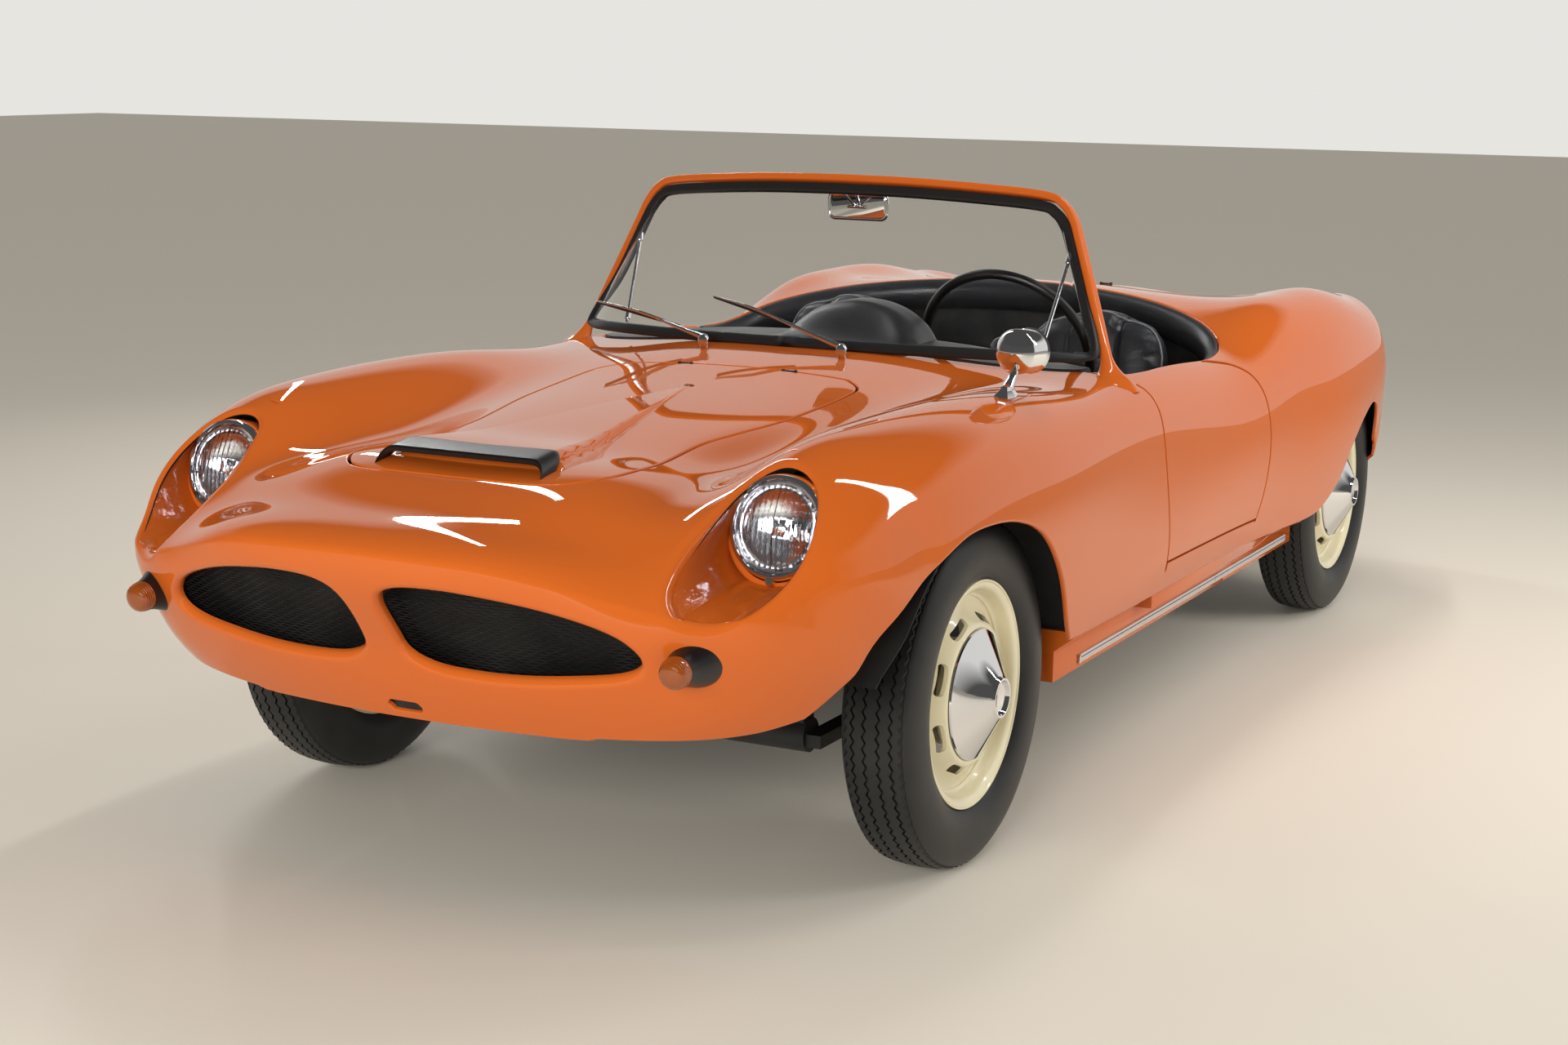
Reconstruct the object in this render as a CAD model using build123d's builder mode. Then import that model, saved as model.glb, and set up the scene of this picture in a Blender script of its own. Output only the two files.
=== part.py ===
"""Open two-seat roadster with a rear engine, in millimetres.

The car faces -Y, its left side is +X and the ground is Z = 0. The body's skin is a table of sections: upright
ones across the car, and ones that fan round the nose and the tail. Every panel is cut from that skin.
"""

from build123d import *
import math
import os

os.makedirs("parts", exist_ok=True)

# Layout
WHEELBASE = 2400
FRONT_AXLE_Y = -1142.2
REAR_AXLE_Y = FRONT_AXLE_Y + WHEELBASE

# Body shell
WALL = 8
SEAM_GAP = 6.5
TRIM_GAP = 0.3
DOOR_THICKNESS = 60
DOOR_FRONT = 890
DOOR_REAR = 1603
DOOR_BOTTOM = 395
DOOR_HINGE_X = 738
DOOR_HINGE_SETBACK = 100
HINGE_PIN_R = 5
HINGE_HEIGHTS = (455, 650)
HINGE_ARM_X = 624

# Fan axes of the nose and tail sections, measured from their own axle
NOSE_FAN_Y = -250
TAIL_FAN_Y = 220
FAN_Z = 330

# Wheels
WHEEL_INSET = 131.5
TYRE_R = 320
TYRE_WIDTH = 145
RIM_SEAT_R = 192
FLANGE_R = 208
RIM_WIDTH = 114
RIM_WALL = 4
RIM_SLOTS = 8
SLOT_CIRCLE_R = 143
DRUM_R = 112
SPINDLE_R = 17
RUN_GAP = 0.05
CAP_BASE_R = 117
CAP_TIP_R = 36
CAP_LENGTH = 84
CAP_WALL = 3
KINGPIN_INSET = 75
KINGPIN_R = 10
KNUCKLE_R = 17

# Floor and axles
FLOOR_Z = 240
FLOOR_SHEET = 6
PILLAR_RECESS = 6
FLOOR_HALF = 660
BEAM_TUBE_R = 32
BEAM_LEAD = 130
BEAM_Z = (240, 385)

# Steering
COLUMN_X = 315
WHEEL_HUB_Y = 1060
WHEEL_HUB_Z = 800
COLUMN_TILT = 25
COLUMN_R = 20
COLUMN_BORE_R = 11
STEER_RING_R = 192
STEER_GRIP_R = 11

# Lamps
LAMP_X = 567
LAMP_Y = -515
LAMP_Z = 700
LAMP_R = 90
LAMP_TILT = 15
NACELLE_R = 101
NACELLE_WALL = 6
NACELLE_BACK = -452
NACELLE_DIP = 9

# Skin sections. Each row has its axle, its kind, its place and then eight points of the left half. The place is
# the distance behind the axle for "across", and the angle from upright for "nose" and "tail". Each point is the
# distance from the middle and the height, which a fan row measures from the fan's axis.
# axle, kind, place, foot, low, waist, shoulder, crown, flank, valley, bonnet, centre
SKIN = [
    ("front", "nose", 87, (650, 60), (648, 130), (632, 222), (588, 315), (505, 390), (400, 435), (280, 460),
     (140, 478), (0, 483)),
    ("front", "nose", 79, (664, 60), (662, 140), (652, 250), (610, 356), (535, 444), (420, 498), (295, 533),
     (150, 555), (0, 560)),
    ("front", "nose", 72, (676, 60), (680, 150), (672, 272), (632, 388), (558, 484), (440, 545), (300, 582),
     (150, 603), (0, 608)),
    ("front", "nose", 66, (684, 60), (692, 160), (690, 288), (655, 408), (585, 506), (455, 562), (300, 597),
     (150, 614), (0, 618)),
    ("front", "nose", 61, (690, 60), (703, 165), (705, 298), (668, 425), (602, 515), (465, 568), (300, 592),
     (150, 604), (0, 607)),
    ("front", "nose", 54, (696, 60), (712, 170), (715, 305), (676, 434), (604, 518), (470, 548), (330, 562),
     (180, 577), (0, 582)),
    ("front", "nose", 45, (704, 60), (726, 170), (728, 320), (690, 445), (598, 518), (482, 520), (370, 524),
     (230, 546), (0, 552)),
    ("front", "nose", 33, (716, 60), (742, 170), (745, 320), (698, 445), (590, 512), (480, 492), (380, 462),
     (240, 487), (0, 495)),
    ("front", "nose", 16, (726, 60), (752, 170), (755, 310), (700, 440), (585, 502), (480, 470), (380, 418),
     (240, 432), (0, 440)),
    ("front", "across", -250, (735, 390), (762, 480), (772, 620), (715, 770), (585, 828), (480, 795), (385, 742),
     (240, 758), (0, 770)),
    ("front", "across", 0, (742, 330), (772, 460), (782, 620), (730, 775), (600, 833), (500, 808), (400, 765),
     (250, 778), (0, 790)),
    ("front", "across", 300, (738, 305), (768, 430), (780, 610), (735, 760), (620, 822), (520, 808), (410, 790),
     (250, 802), (0, 812)),
    ("front", "across", 600, (735, 305), (764, 420), (766, 600), (730, 745), (640, 795), (530, 802), (400, 812),
     (220, 832), (0, 838)),
    ("front", "across", 900, (730, 305), (759, 420), (755, 590), (725, 730), (655, 790), (560, 805), (420, 822),
     (220, 838), (0, 842)),
    ("rear", "across", -1100, (724, 305), (750, 420), (752, 580), (718, 712), (650, 778), (560, 795), (400, 815),
     (200, 835), (0, 842)),
    ("rear", "across", -800, (725, 305), (750, 420), (758, 580), (722, 712), (652, 772), (560, 800), (400, 828),
     (200, 850), (0, 858)),
    ("rear", "across", -520, (738, 305), (764, 440), (766, 610), (725, 765), (642, 842), (540, 848), (380, 858),
     (180, 872), (0, 877)),
    ("rear", "across", -300, (752, 310), (780, 470), (778, 640), (728, 795), (636, 857), (530, 848), (370, 842),
     (180, 855), (0, 860)),
    ("rear", "across", -50, (755, 330), (784, 500), (780, 660), (726, 800), (630, 852), (530, 838), (370, 818),
     (180, 828), (0, 832)),
    ("rear", "across", 220, (742, 390), (760, 500), (768, 645), (716, 770), (624, 815), (520, 800), (350, 778),
     (170, 778), (0, 780)),
    ("rear", "tail", 16, (747, 60), (752, 160), (750, 305), (703, 432), (614, 485), (500, 474), (340, 462),
     (160, 458), (0, 458)),
    ("rear", "tail", 35, (744, 60), (744, 140), (725, 280), (675, 398), (592, 460), (480, 474), (330, 478),
     (160, 483), (0, 485)),
    ("rear", "tail", 55, (728, 60), (716, 130), (690, 250), (640, 360), (560, 432), (450, 475), (310, 500),
     (150, 514), (0, 518)),
    ("rear", "tail", 75, (700, 60), (675, 115), (655, 225), (600, 330), (525, 400), (420, 450), (290, 482),
     (150, 503), (0, 510)),
    ("rear", "tail", 92, (620, 60), (620, 110), (610, 200), (565, 290), (490, 360), (400, 410), (290, 440),
     (150, 455), (0, 460)),
]
FLANK = 5
WIDEST = max(point[0] for row in SKIN for point in row[3:] if row[:3] == ("rear", "across", -50))
TRACK = 2 * (WIDEST - WHEEL_INSET)
AXLE_Y = {"front": FRONT_AXLE_Y, "rear": REAR_AXLE_Y}


def fy(y):
    """Y in the car's frame of a place measured behind the front axle."""
    return y + FRONT_AXLE_Y


def ry(y):
    """Y in the car's frame of a place measured behind the rear axle."""
    return y + REAR_AXLE_Y


def inward(points, depth):
    """The half section moved inward by a depth, each point along the mitre of its two sides."""
    moved = []
    for i, (x, z) in enumerate(points):
        ends = [points[max(i - 1, 0)], points[i], points[min(i + 1, len(points) - 1)]]
        normals = []
        for a, b in zip(ends, ends[1:]):
            if a == b:
                continue
            run, rise = b[0] - a[0], b[1] - a[1]
            size = math.hypot(run, rise)
            normals.append((-rise / size, run / size))
        nx = sum(n[0] for n in normals)
        nz = sum(n[1] for n in normals)
        if i == 0:
            nx, nz = -1, 0
        if i == len(points) - 1:
            nx, nz = 0, -1
        size = math.hypot(nx, nz)
        nx, nz = nx / size, nz / size
        mitre = max(nx * normals[0][0] + nz * normals[0][1], 0.5)
        moved.append((x + nx * depth / mitre, z + nz * depth / mitre))
    return moved


def place(axle, kind, at, point):
    """The point of a section in the car's frame."""
    x, h = point
    if kind == "across":
        return Vector(x, AXLE_Y[axle] + at, h)
    fan_y = NOSE_FAN_Y if kind == "nose" else TAIL_FAN_Y
    side = -1 if kind == "nose" else 1
    turn = math.radians(at)
    return Vector(x, AXLE_Y[axle] + fan_y + side * h * math.sin(turn), FAN_Z + h * math.cos(turn))


def section_line(row, depth=0):
    """One section across the whole car, from the left foot over the middle to the right foot."""
    axle, kind, at, *points = row
    half = [place(axle, kind, at, p) for p in inward(points, depth)]
    return half + [Vector(-p.X, p.Y, p.Z) for p in reversed(half[:-1])]


def row_between(y):
    """An upright section at any place along the car's middle, from the two rows that it lies between."""
    rows = [row for row in SKIN if row[1] == "across"]
    for a, b in zip(rows, rows[1:]):
        ya, yb = AXLE_Y[a[0]] + a[2], AXLE_Y[b[0]] + b[2]
        if ya <= y <= yb:
            t = (y - ya) / (yb - ya)
            mixed = [(p[0] + t * (q[0] - p[0]), p[1] + t * (q[1] - p[1])) for p, q in zip(a[3:], b[3:])]
            return ("front", "across", y - FRONT_AXLE_Y, *mixed)
    raise ValueError(y)


def rows_over(y_from, y_to):
    """The table's rows over a stretch of the car, with a row at each end that lies between two of them."""
    picked = []
    for row in SKIN:
        axle, kind, at = row[:3]
        y = AXLE_Y[axle] + at
        if kind == "nose":
            inside = y_from is None
        elif kind == "tail":
            inside = y_to is None
        else:
            inside = (y_from is None or y > y_from + 1) and (y_to is None or y < y_to - 1)
        if inside:
            picked.append(row)
    if y_from is not None:
        picked.insert(0, row_between(y_from))
    if y_to is not None:
        picked.append(row_between(y_to))
    return picked


def skinned(rings):
    """A solid through a row of closed rings of points, its ends closed by the first and the last ring."""
    faces = [Face(Wire.make_polygon(rings[0])), Face(Wire.make_polygon(rings[-1]))]
    for a, b in zip(rings, rings[1:]):
        for i in range(len(a)):
            j = (i + 1) % len(a)
            if a[i].X + a[j].X > 0:
                corners = [(a[i], a[j], b[j]), (a[i], b[j], b[i])]
            else:
                corners = [(a[i], a[j], b[i]), (a[j], b[j], b[i])]
            faces += [Face(Wire.make_polygon(three)) for three in corners]
    return Solid(Shell(faces))


def shell_over(y_from, y_to, outer=0, inner=WALL):
    """The skin over a stretch of the car as a wall between two depths."""
    rings = []
    for row in rows_over(y_from, y_to):
        rings.append(section_line(row, outer) + list(reversed(section_line(row, inner))))
    return skinned(rings)


def volume_over(y_from, y_to, depth=0):
    """All that the skin encloses over a stretch of the car, down to its foot line."""
    return skinned([section_line(row, depth) for row in rows_over(y_from, y_to)])


def band(stations, width, depth):
    """A bar of rectangular section through stations of a centre, the bar's width direction and its depth."""
    rings = []
    for centre, across, normal in stations:
        c = Vector(*centre)
        a = Vector(*across).normalized() * (width / 2)
        n = Vector(*normal).normalized() * (depth / 2)
        rings.append([c + a + n, c + a - n, c - a - n, c - a + n])
    return skinned(rings)


def rod(start, end, radius):
    """A round bar between two points."""
    a, b = Vector(*start), Vector(*end)
    with BuildPart(mode=Mode.PRIVATE) as bar:
        with BuildSketch(Plane(origin=a, z_dir=b - a)):
            Circle(radius)
        extrude(amount=(b - a).length)
    return bar.part


def box(low, high):
    """A block between two corners."""
    with BuildPart(mode=Mode.PRIVATE) as block:
        with Locations(((low[0] + high[0]) / 2, (low[1] + high[1]) / 2, (low[2] + high[2]) / 2)):
            Box(high[0] - low[0], high[1] - low[1], high[2] - low[2])
    return block.part


def prism(plane, outline, amount, both=False):
    """A straight-sided block that has the closed outline as its section."""
    with BuildPart(mode=Mode.PRIVATE) as block:
        with BuildSketch(plane):
            with BuildLine():
                Polyline(*outline, close=True)
            make_face()
        extrude(amount=amount, both=both)
    return block.part


def mirrored_outline(half):
    """A closed outline from its left half, which has no point on the middle line."""
    return half + [(-x, y) for x, y in reversed(half)]


def grown(outline, by):
    """A plan outline pushed outward from its own middle by an amount in each direction."""
    cx = sum(p[0] for p in outline) / len(outline)
    cy = sum(p[1] for p in outline) / len(outline)
    far = []
    for x, y in outline:
        size = math.hypot(x - cx, y - cy)
        far.append((x + (x - cx) / size * by * 1.2, y + (y - cy) / size * by * 1.2))
    return far


# Plan outlines of the lids, as halves from front to back, measured from their own axle
BONNET_HINGE_GAP = 8
BONNET_REAR = 395
BONNET_OUTLINE = [(40, -630), (120, -626), (195, -606), (228, -565), (238, -500), (240, -200), (262, -80),
                  (288, 53), (298, 200), (300, 300), (292, 350), (262, 385), (225, BONNET_REAR)]
BONNET_AXIS_Z = 819
BONNET_HINGE_X = 120
LID_FRONT = -235
LID_OUTLINE = [(270, LID_FRONT), (310, -215), (328, -180), (335, 0), (325, 350), (300, 430),
               (240, 462), (90, 470)]
LID_AXIS_Z = 853.5
LID_HINGE_X = 140


def plan(outline, axle):
    """A half plan outline as a closed one in the car's frame."""
    return [(x, y + AXLE_Y[axle]) for x, y in mirrored_outline(outline)]


def seam_prism(outline, axle, gap, rear=0, front=0):
    """The block that opens a lid's hole in the shell, wider than the lid by the seam."""
    opened = []
    for x, y in outline:
        grown_y = y
        if y >= max(p[1] for p in outline) - 1:
            grown_y = y + (rear or gap)
        elif y <= min(p[1] for p in outline) + 12:
            grown_y = y - (front or gap)
        opened.append((x + gap * 1.25, grown_y))
    return prism(Plane.XY.offset(500), plan(opened, axle), 600)


# Small hinges in the seam at a lid's edge: the middle barrel is the lid's, the ears and the pin are the body's
LID_PIN_R = 1.75
LID_BARREL_R = 3.4
LID_BARREL = 22
LID_EAR = 5


def seam_hinge(x, y, z, toward):
    """The lid's half and the body's half of a seam hinge. The lid lies on the side that toward gives along Y."""
    edge = y + toward * BONNET_HINGE_GAP / 2
    far = y - toward * BONNET_HINGE_GAP / 2
    with BuildPart(mode=Mode.PRIVATE) as lid_half:
        add(rod((x - LID_BARREL / 2, y, z), (x + LID_BARREL / 2, y, z), LID_BARREL_R))
        low, high = sorted((y + toward * 2, edge + toward * 4))
        add(box((x - LID_BARREL / 2, low, z - 9), (x + LID_BARREL / 2, high, z)))
        add(rod((x - 40, y, z), (x + 40, y, z), LID_PIN_R + RUN_GAP), mode=Mode.SUBTRACT)
    with BuildPart(mode=Mode.PRIVATE) as body_half:
        for end in (-1, 1):
            near = x + end * (LID_BARREL / 2 + 0.5)
            add(rod((near, y, z), (near + end * LID_EAR, y, z), LID_BARREL_R))
            low, high = sorted((y - toward * 1.5, far))
            left, right = sorted((near, near + end * LID_EAR))
            add(box((left, low, z - 9), (right, high, z)))
        add(rod((x - LID_BARREL / 2 - LID_EAR, y, z), (x + LID_BARREL / 2 + LID_EAR, y, z), LID_PIN_R))
    return lid_half.part, body_half.part


# Front body: the shell from the nose to the door pillar
front_end = fy(DOOR_FRONT) - SEAM_GAP / 2
rear_end = fy(DOOR_REAR) + SEAM_GAP / 2
front_shell = shell_over(None, front_end)
front_volume = volume_over(None, front_end)
front_inside = volume_over(None, front_end, WALL + TRIM_GAP)

FRONT_ARCH_LENGTH = 405
FRONT_ARCH_APEX = 646
ARCH_INNER_X = 560
REAR_ARCH = [(-420, 285), (-400, 300), (-300, 322), (-190, 376), (-126, 452), (-20, 523), (74, 548), (160, 528),
             (215, 473), (255, 380), (262, 200), (-420, 200)]

# Nose openings on the left, seen from ahead: distance from the middle and height
GRILLE_OUTLINE = [(22, 572), (60, 583), (170, 592), (333, 576), (430, 550), (482, 524), (487, 511), (460, 500),
                  (332, 480), (182, 473), (83, 489), (35, 522), (20, 552)]
TOW_SLOT = (70, 24)
TOW_SLOT_Z = 385

lamp_back = fy(NACELLE_BACK)
dip = math.radians(NACELLE_DIP)
nacelle_line = Vector(0, -math.cos(dip), -math.sin(dip))
LAMP_FORWARD = Vector(0, -math.cos(math.radians(LAMP_TILT)), math.sin(math.radians(LAMP_TILT)))

SCREEN_CORNER = (606, 830, 850)
DASH_HALF = SCREEN_CORNER[0] - 16
DASH_FRONT = [(60, 642), (200, 655), (400, 712), (520, 772), (DASH_HALF, 840)]

with BuildPart() as front_body:
    add(front_shell)
    # Wheel wells: an arched wall over each wheel with a flat inner wall, inside the shell
    for side in (1, -1):
        with BuildPart(mode=Mode.PRIVATE) as well:
            with BuildSketch(Plane.YZ.offset(395)):
                with Locations((FRONT_AXLE_Y, TYRE_R)):
                    Circle(416)
            extrude(amount=360)
            with BuildSketch(Plane.YZ.offset(400)):
                with Locations((FRONT_AXLE_Y, TYRE_R)):
                    Circle(411)
            extrude(amount=360, mode=Mode.SUBTRACT)
            add(box((300, fy(-500), 0), (900, fy(500), 430)), mode=Mode.SUBTRACT)
            add(volume_over(None, front_end, WALL / 2), mode=Mode.INTERSECT)
        add(well.part if side == 1 else mirror(well.part, about=Plane.YZ, mode=Mode.PRIVATE))
    # Door pillars close the rear end of each wing
    pillar = prism(
        Plane.XZ.offset(-front_end + PILLAR_RECESS),
        [(p.X, p.Z) for p in section_line(row_between(front_end), WALL / 2)[:5]] + [(640, 760), (640, 306)],
        FLOOR_SHEET,
    )
    add(pillar)
    add(mirror(pillar, about=Plane.YZ, mode=Mode.PRIVATE))
    # Lamp nacelles
    for side in (1, -1):
        start = Vector(side * LAMP_X, lamp_back, LAMP_Z)
        with BuildPart(mode=Mode.PRIVATE) as nacelle:
            with BuildSketch(Plane(origin=start, z_dir=nacelle_line)):
                Circle(NACELLE_R + NACELLE_WALL)
            extrude(amount=340)
            with BuildSketch(Plane(origin=start + nacelle_line * NACELLE_WALL, z_dir=nacelle_line)):
                Circle(NACELLE_R)
            extrude(amount=340, mode=Mode.SUBTRACT)
            add(volume_over(None, front_end, WALL / 2), mode=Mode.INTERSECT)
        add(nacelle.part)
        with BuildSketch(Plane(origin=start + nacelle_line * NACELLE_WALL, z_dir=nacelle_line)):
            Circle(NACELLE_R)
        extrude(amount=340, mode=Mode.SUBTRACT)
    # Wheel arches
    for side in (1, -1):
        with BuildSketch(Plane.YZ.offset(side * ARCH_INNER_X)):
            with Locations((FRONT_AXLE_Y - 10, TYRE_R)):
                Ellipse(FRONT_ARCH_LENGTH, FRONT_ARCH_APEX - TYRE_R)
            with Locations((FRONT_AXLE_Y - 10, TYRE_R - 100)):
                Rectangle(2 * FRONT_ARCH_LENGTH, 200)
        extrude(amount=side * 340, mode=Mode.SUBTRACT)
    # The lower edge of the nose rises towards the wheels
    apron = prism(Plane.YZ, [(fy(-1000), 0), (fy(-1000), 358), (fy(-700), 358), (fy(-395), 420), (fy(-395), 0)],
                  900, both=True)
    add(apron, mode=Mode.SUBTRACT)
    # Grille openings and the slot for the tow hook
    for side in (1, -1):
        outline = [(side * x, z) for x, z in GRILLE_OUTLINE]
        add(prism(Plane.XZ.offset(-fy(-600)), outline, 400), mode=Mode.SUBTRACT)
    with BuildSketch(Plane.XZ.offset(-fy(-600))):
        with Locations((0, TOW_SLOT_Z)):
            SlotOverall(*TOW_SLOT)
    extrude(amount=400, mode=Mode.SUBTRACT)
    # Openings for the bonnet and the dashboard
    add(seam_prism(BONNET_OUTLINE, "front", SEAM_GAP, rear=BONNET_HINGE_GAP), mode=Mode.SUBTRACT)
    hole = mirrored_outline(DASH_FRONT + [(DASH_HALF, 1000)])
    add(prism(Plane.XY.offset(500), [(x, fy(y)) for x, y in hole], 600), mode=Mode.SUBTRACT)
front_body.part.label = "front_body"
export_step(front_body.part, "parts/front_body.step")

with BuildPart() as bonnet:
    add(front_shell)
    add(prism(Plane.XY.offset(500), plan(BONNET_OUTLINE, "front"), 600), mode=Mode.INTERSECT)
    for side in (1, -1):
        add(seam_hinge(side * BONNET_HINGE_X, fy(BONNET_REAR) + BONNET_HINGE_GAP / 2, BONNET_AXIS_Z, -1)[0])
bonnet.part.label = "bonnet"
export_step(bonnet.part, "parts/bonnet.step")

# Scoop: an inverted channel with two cheeks at the bonnet's front edge
SCOOP_HALF = 156
SCOOP_WALL = 6
SCOOP_HEIGHT = 42
scoop_rows = [(-590, 160, 3), (-565, 158, 26), (-528, 150, SCOOP_HEIGHT), (-500, 146, SCOOP_HEIGHT - 6)]


def skin_height(x, y):
    """Height of the skin over a point in plan, from the section through that place."""
    row = row_between(y) if y >= fy(NOSE_FAN_Y) else None
    if row is None:
        depth = -(y - fy(NOSE_FAN_Y))
        best = None
        rows = [r for r in SKIN if r[1] == "nose"]
        for a, b in zip(rows, rows[1:]):
            ends = []
            for r in (a, b):
                points = [place(*r[:3], p) for p in r[3:]]
                for p, q in zip(points, points[1:]):
                    if q.X <= abs(x) <= p.X and p.X > q.X:
                        t = (abs(x) - q.X) / (p.X - q.X)
                        ends.append(q + (p - q) * t)
                        break
            if len(ends) == 2 and ends[0].Y <= y <= ends[1].Y:
                t = (y - ends[0].Y) / (ends[1].Y - ends[0].Y)
                best = ends[0].Z + t * (ends[1].Z - ends[0].Z)
        if best is not None:
            return best
        row = row_between(fy(NOSE_FAN_Y))
    points = row[3:]
    for p, q in zip(points, points[1:]):
        if q[0] <= abs(x) <= p[0]:
            return q[1] + (abs(x) - q[0]) / (p[0] - q[0]) * (p[1] - q[1])
    raise ValueError((x, y))


with BuildPart() as bonnet_scoop:
    rings = []
    for y, half, height in scoop_rows:
        base = skin_height(half, fy(y)) - 20
        top = skin_height(0, fy(y)) + height
        rings.append([Vector(half, fy(y), base), Vector(half, fy(y), top - 6), Vector(half - 10, fy(y), top),
                      Vector(-half + 10, fy(y), top), Vector(-half, fy(y), top - 6), Vector(-half, fy(y), base),
                      Vector(-half + SCOOP_WALL, fy(y), base), Vector(-half + SCOOP_WALL, fy(y), top - 9),
                      Vector(half - SCOOP_WALL, fy(y), top - 9), Vector(half - SCOOP_WALL, fy(y), base)])
    add(skinned(rings))
    add(front_volume, mode=Mode.SUBTRACT)
bonnet_scoop.part.label = "bonnet_scoop"
export_step(bonnet_scoop.part, "parts/bonnet_scoop.step")

# Rear body: the shell from the door's rear edge to the tail
COCKPIT_REAR = [(62, -512), (202, -528), (402, -598), (532, -676), (602, -748), (632, -808), (636, -900)]
TAIL_EDGE_Z = 395
rear_shell = shell_over(rear_end, None)
rear_volume = volume_over(rear_end, None)
cockpit_plan = [(x, ry(y)) for x, y in mirrored_outline(COCKPIT_REAR)]

with BuildPart() as rear_body:
    add(rear_shell)
    for side in (1, -1):
        with BuildPart(mode=Mode.PRIVATE) as well:
            with BuildSketch(Plane.YZ.offset(538)):
                with Locations((REAR_AXLE_Y, TYRE_R)):
                    Circle(366)
            extrude(amount=240)
            with BuildSketch(Plane.YZ.offset(543)):
                with Locations((REAR_AXLE_Y, TYRE_R)):
                    Circle(361)
            extrude(amount=240, mode=Mode.SUBTRACT)
            add(box((300, ry(-500), 0), (900, ry(500), 430)), mode=Mode.SUBTRACT)
            add(volume_over(rear_end, None, WALL / 2), mode=Mode.INTERSECT)
        add(well.part if side == 1 else mirror(well.part, about=Plane.YZ, mode=Mode.PRIVATE))
    latch_pillar = prism(
        Plane.XZ.offset(-rear_end - FLOOR_SHEET),
        [(p.X, p.Z) for p in section_line(row_between(rear_end + FLOOR_SHEET), WALL / 2)[:5]]
        + [(640, 750), (640, 306)],
        FLOOR_SHEET,
    )
    add(latch_pillar)
    add(mirror(latch_pillar, about=Plane.YZ, mode=Mode.PRIVATE))
    for side in (1, -1):
        add(prism(Plane.YZ.offset(side * 600), [(ry(y), z) for y, z in REAR_ARCH], side * 300), mode=Mode.SUBTRACT)
    add(box((-900, ry(200), 0), (900, ry(900), TAIL_EDGE_Z)), mode=Mode.SUBTRACT)
    add(prism(Plane.XY.offset(500), cockpit_plan, 600), mode=Mode.SUBTRACT)
    add(seam_prism(LID_OUTLINE, "rear", SEAM_GAP, front=BONNET_HINGE_GAP), mode=Mode.SUBTRACT)
rear_body.part.label = "rear_body"
export_step(rear_body.part, "parts/rear_body.step")

with BuildPart() as engine_lid:
    add(rear_shell)
    add(prism(Plane.XY.offset(500), plan(LID_OUTLINE, "rear"), 600), mode=Mode.INTERSECT)
    for side in (1, -1):
        add(seam_hinge(side * LID_HINGE_X, ry(LID_FRONT) - BONNET_HINGE_GAP / 2, LID_AXIS_Z, 1)[0])
engine_lid.part.label = "engine_lid"
export_step(engine_lid.part, "parts/engine_lid.step")

# Doors: the whole thickness of the side between the two pillars
door_front = fy(DOOR_FRONT) + SEAM_GAP / 2
door_rear = fy(DOOR_REAR) - SEAM_GAP / 2
hinge_y = door_front + DOOR_HINGE_SETBACK


def door_ring(y):
    """Outer line of the side from the door's lower edge to its crown, and back along its inner face."""
    foot, low, waist, shoulder, crown = row_between(y)[3:8]
    t = (DOOR_BOTTOM - foot[1]) / (low[1] - foot[1])
    edge = (foot[0] + t * (low[0] - foot[0]), DOOR_BOTTOM)
    outer = [edge, low, waist, shoulder, crown]
    inner = [(crown[0] - 16, crown[1] - 12), (shoulder[0] - DOOR_THICKNESS, shoulder[1] - 45),
             (waist[0] - DOOR_THICKNESS, waist[1]), (low[0] - DOOR_THICKNESS, low[1]),
             (edge[0] - DOOR_THICKNESS, edge[1])]
    return [Vector(x, y, z) for x, z in outer + inner]


for side, name in ((1, "door_left"), (-1, "door_right")):
    with BuildPart() as door:
        add(skinned([door_ring(y) for y in (door_front, fy(1300), door_rear)]))
        # The swing about the hinge trims the rear edge, so that the door clears its pillar
        with BuildSketch(Plane.XY):
            with Locations((DOOR_HINGE_X, hinge_y)):
                Circle(math.hypot(door_rear - hinge_y, DOOR_HINGE_X - 745))
        extrude(amount=1000, mode=Mode.INTERSECT)
        # Pockets for the fixed half of each hinge
        for z in HINGE_HEIGHTS:
            pocket = box((600, door_front - 1, z - 30), (DOOR_HINGE_X + 10, hinge_y + 14, z + 30))
            add(pocket, mode=Mode.SUBTRACT)
            add(rod((DOOR_HINGE_X, hinge_y, z - 30), (DOOR_HINGE_X, hinge_y, z + 30), HINGE_PIN_R))
    if side == -1:
        with BuildPart() as door_other:
            add(mirror(door.part, about=Plane.YZ, mode=Mode.PRIVATE))
        door_other.part.label = name
        export_step(door_other.part, f"parts/{name}.step")
    else:
        door.part.label = name
        export_step(door.part, f"parts/{name}.step")

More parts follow.
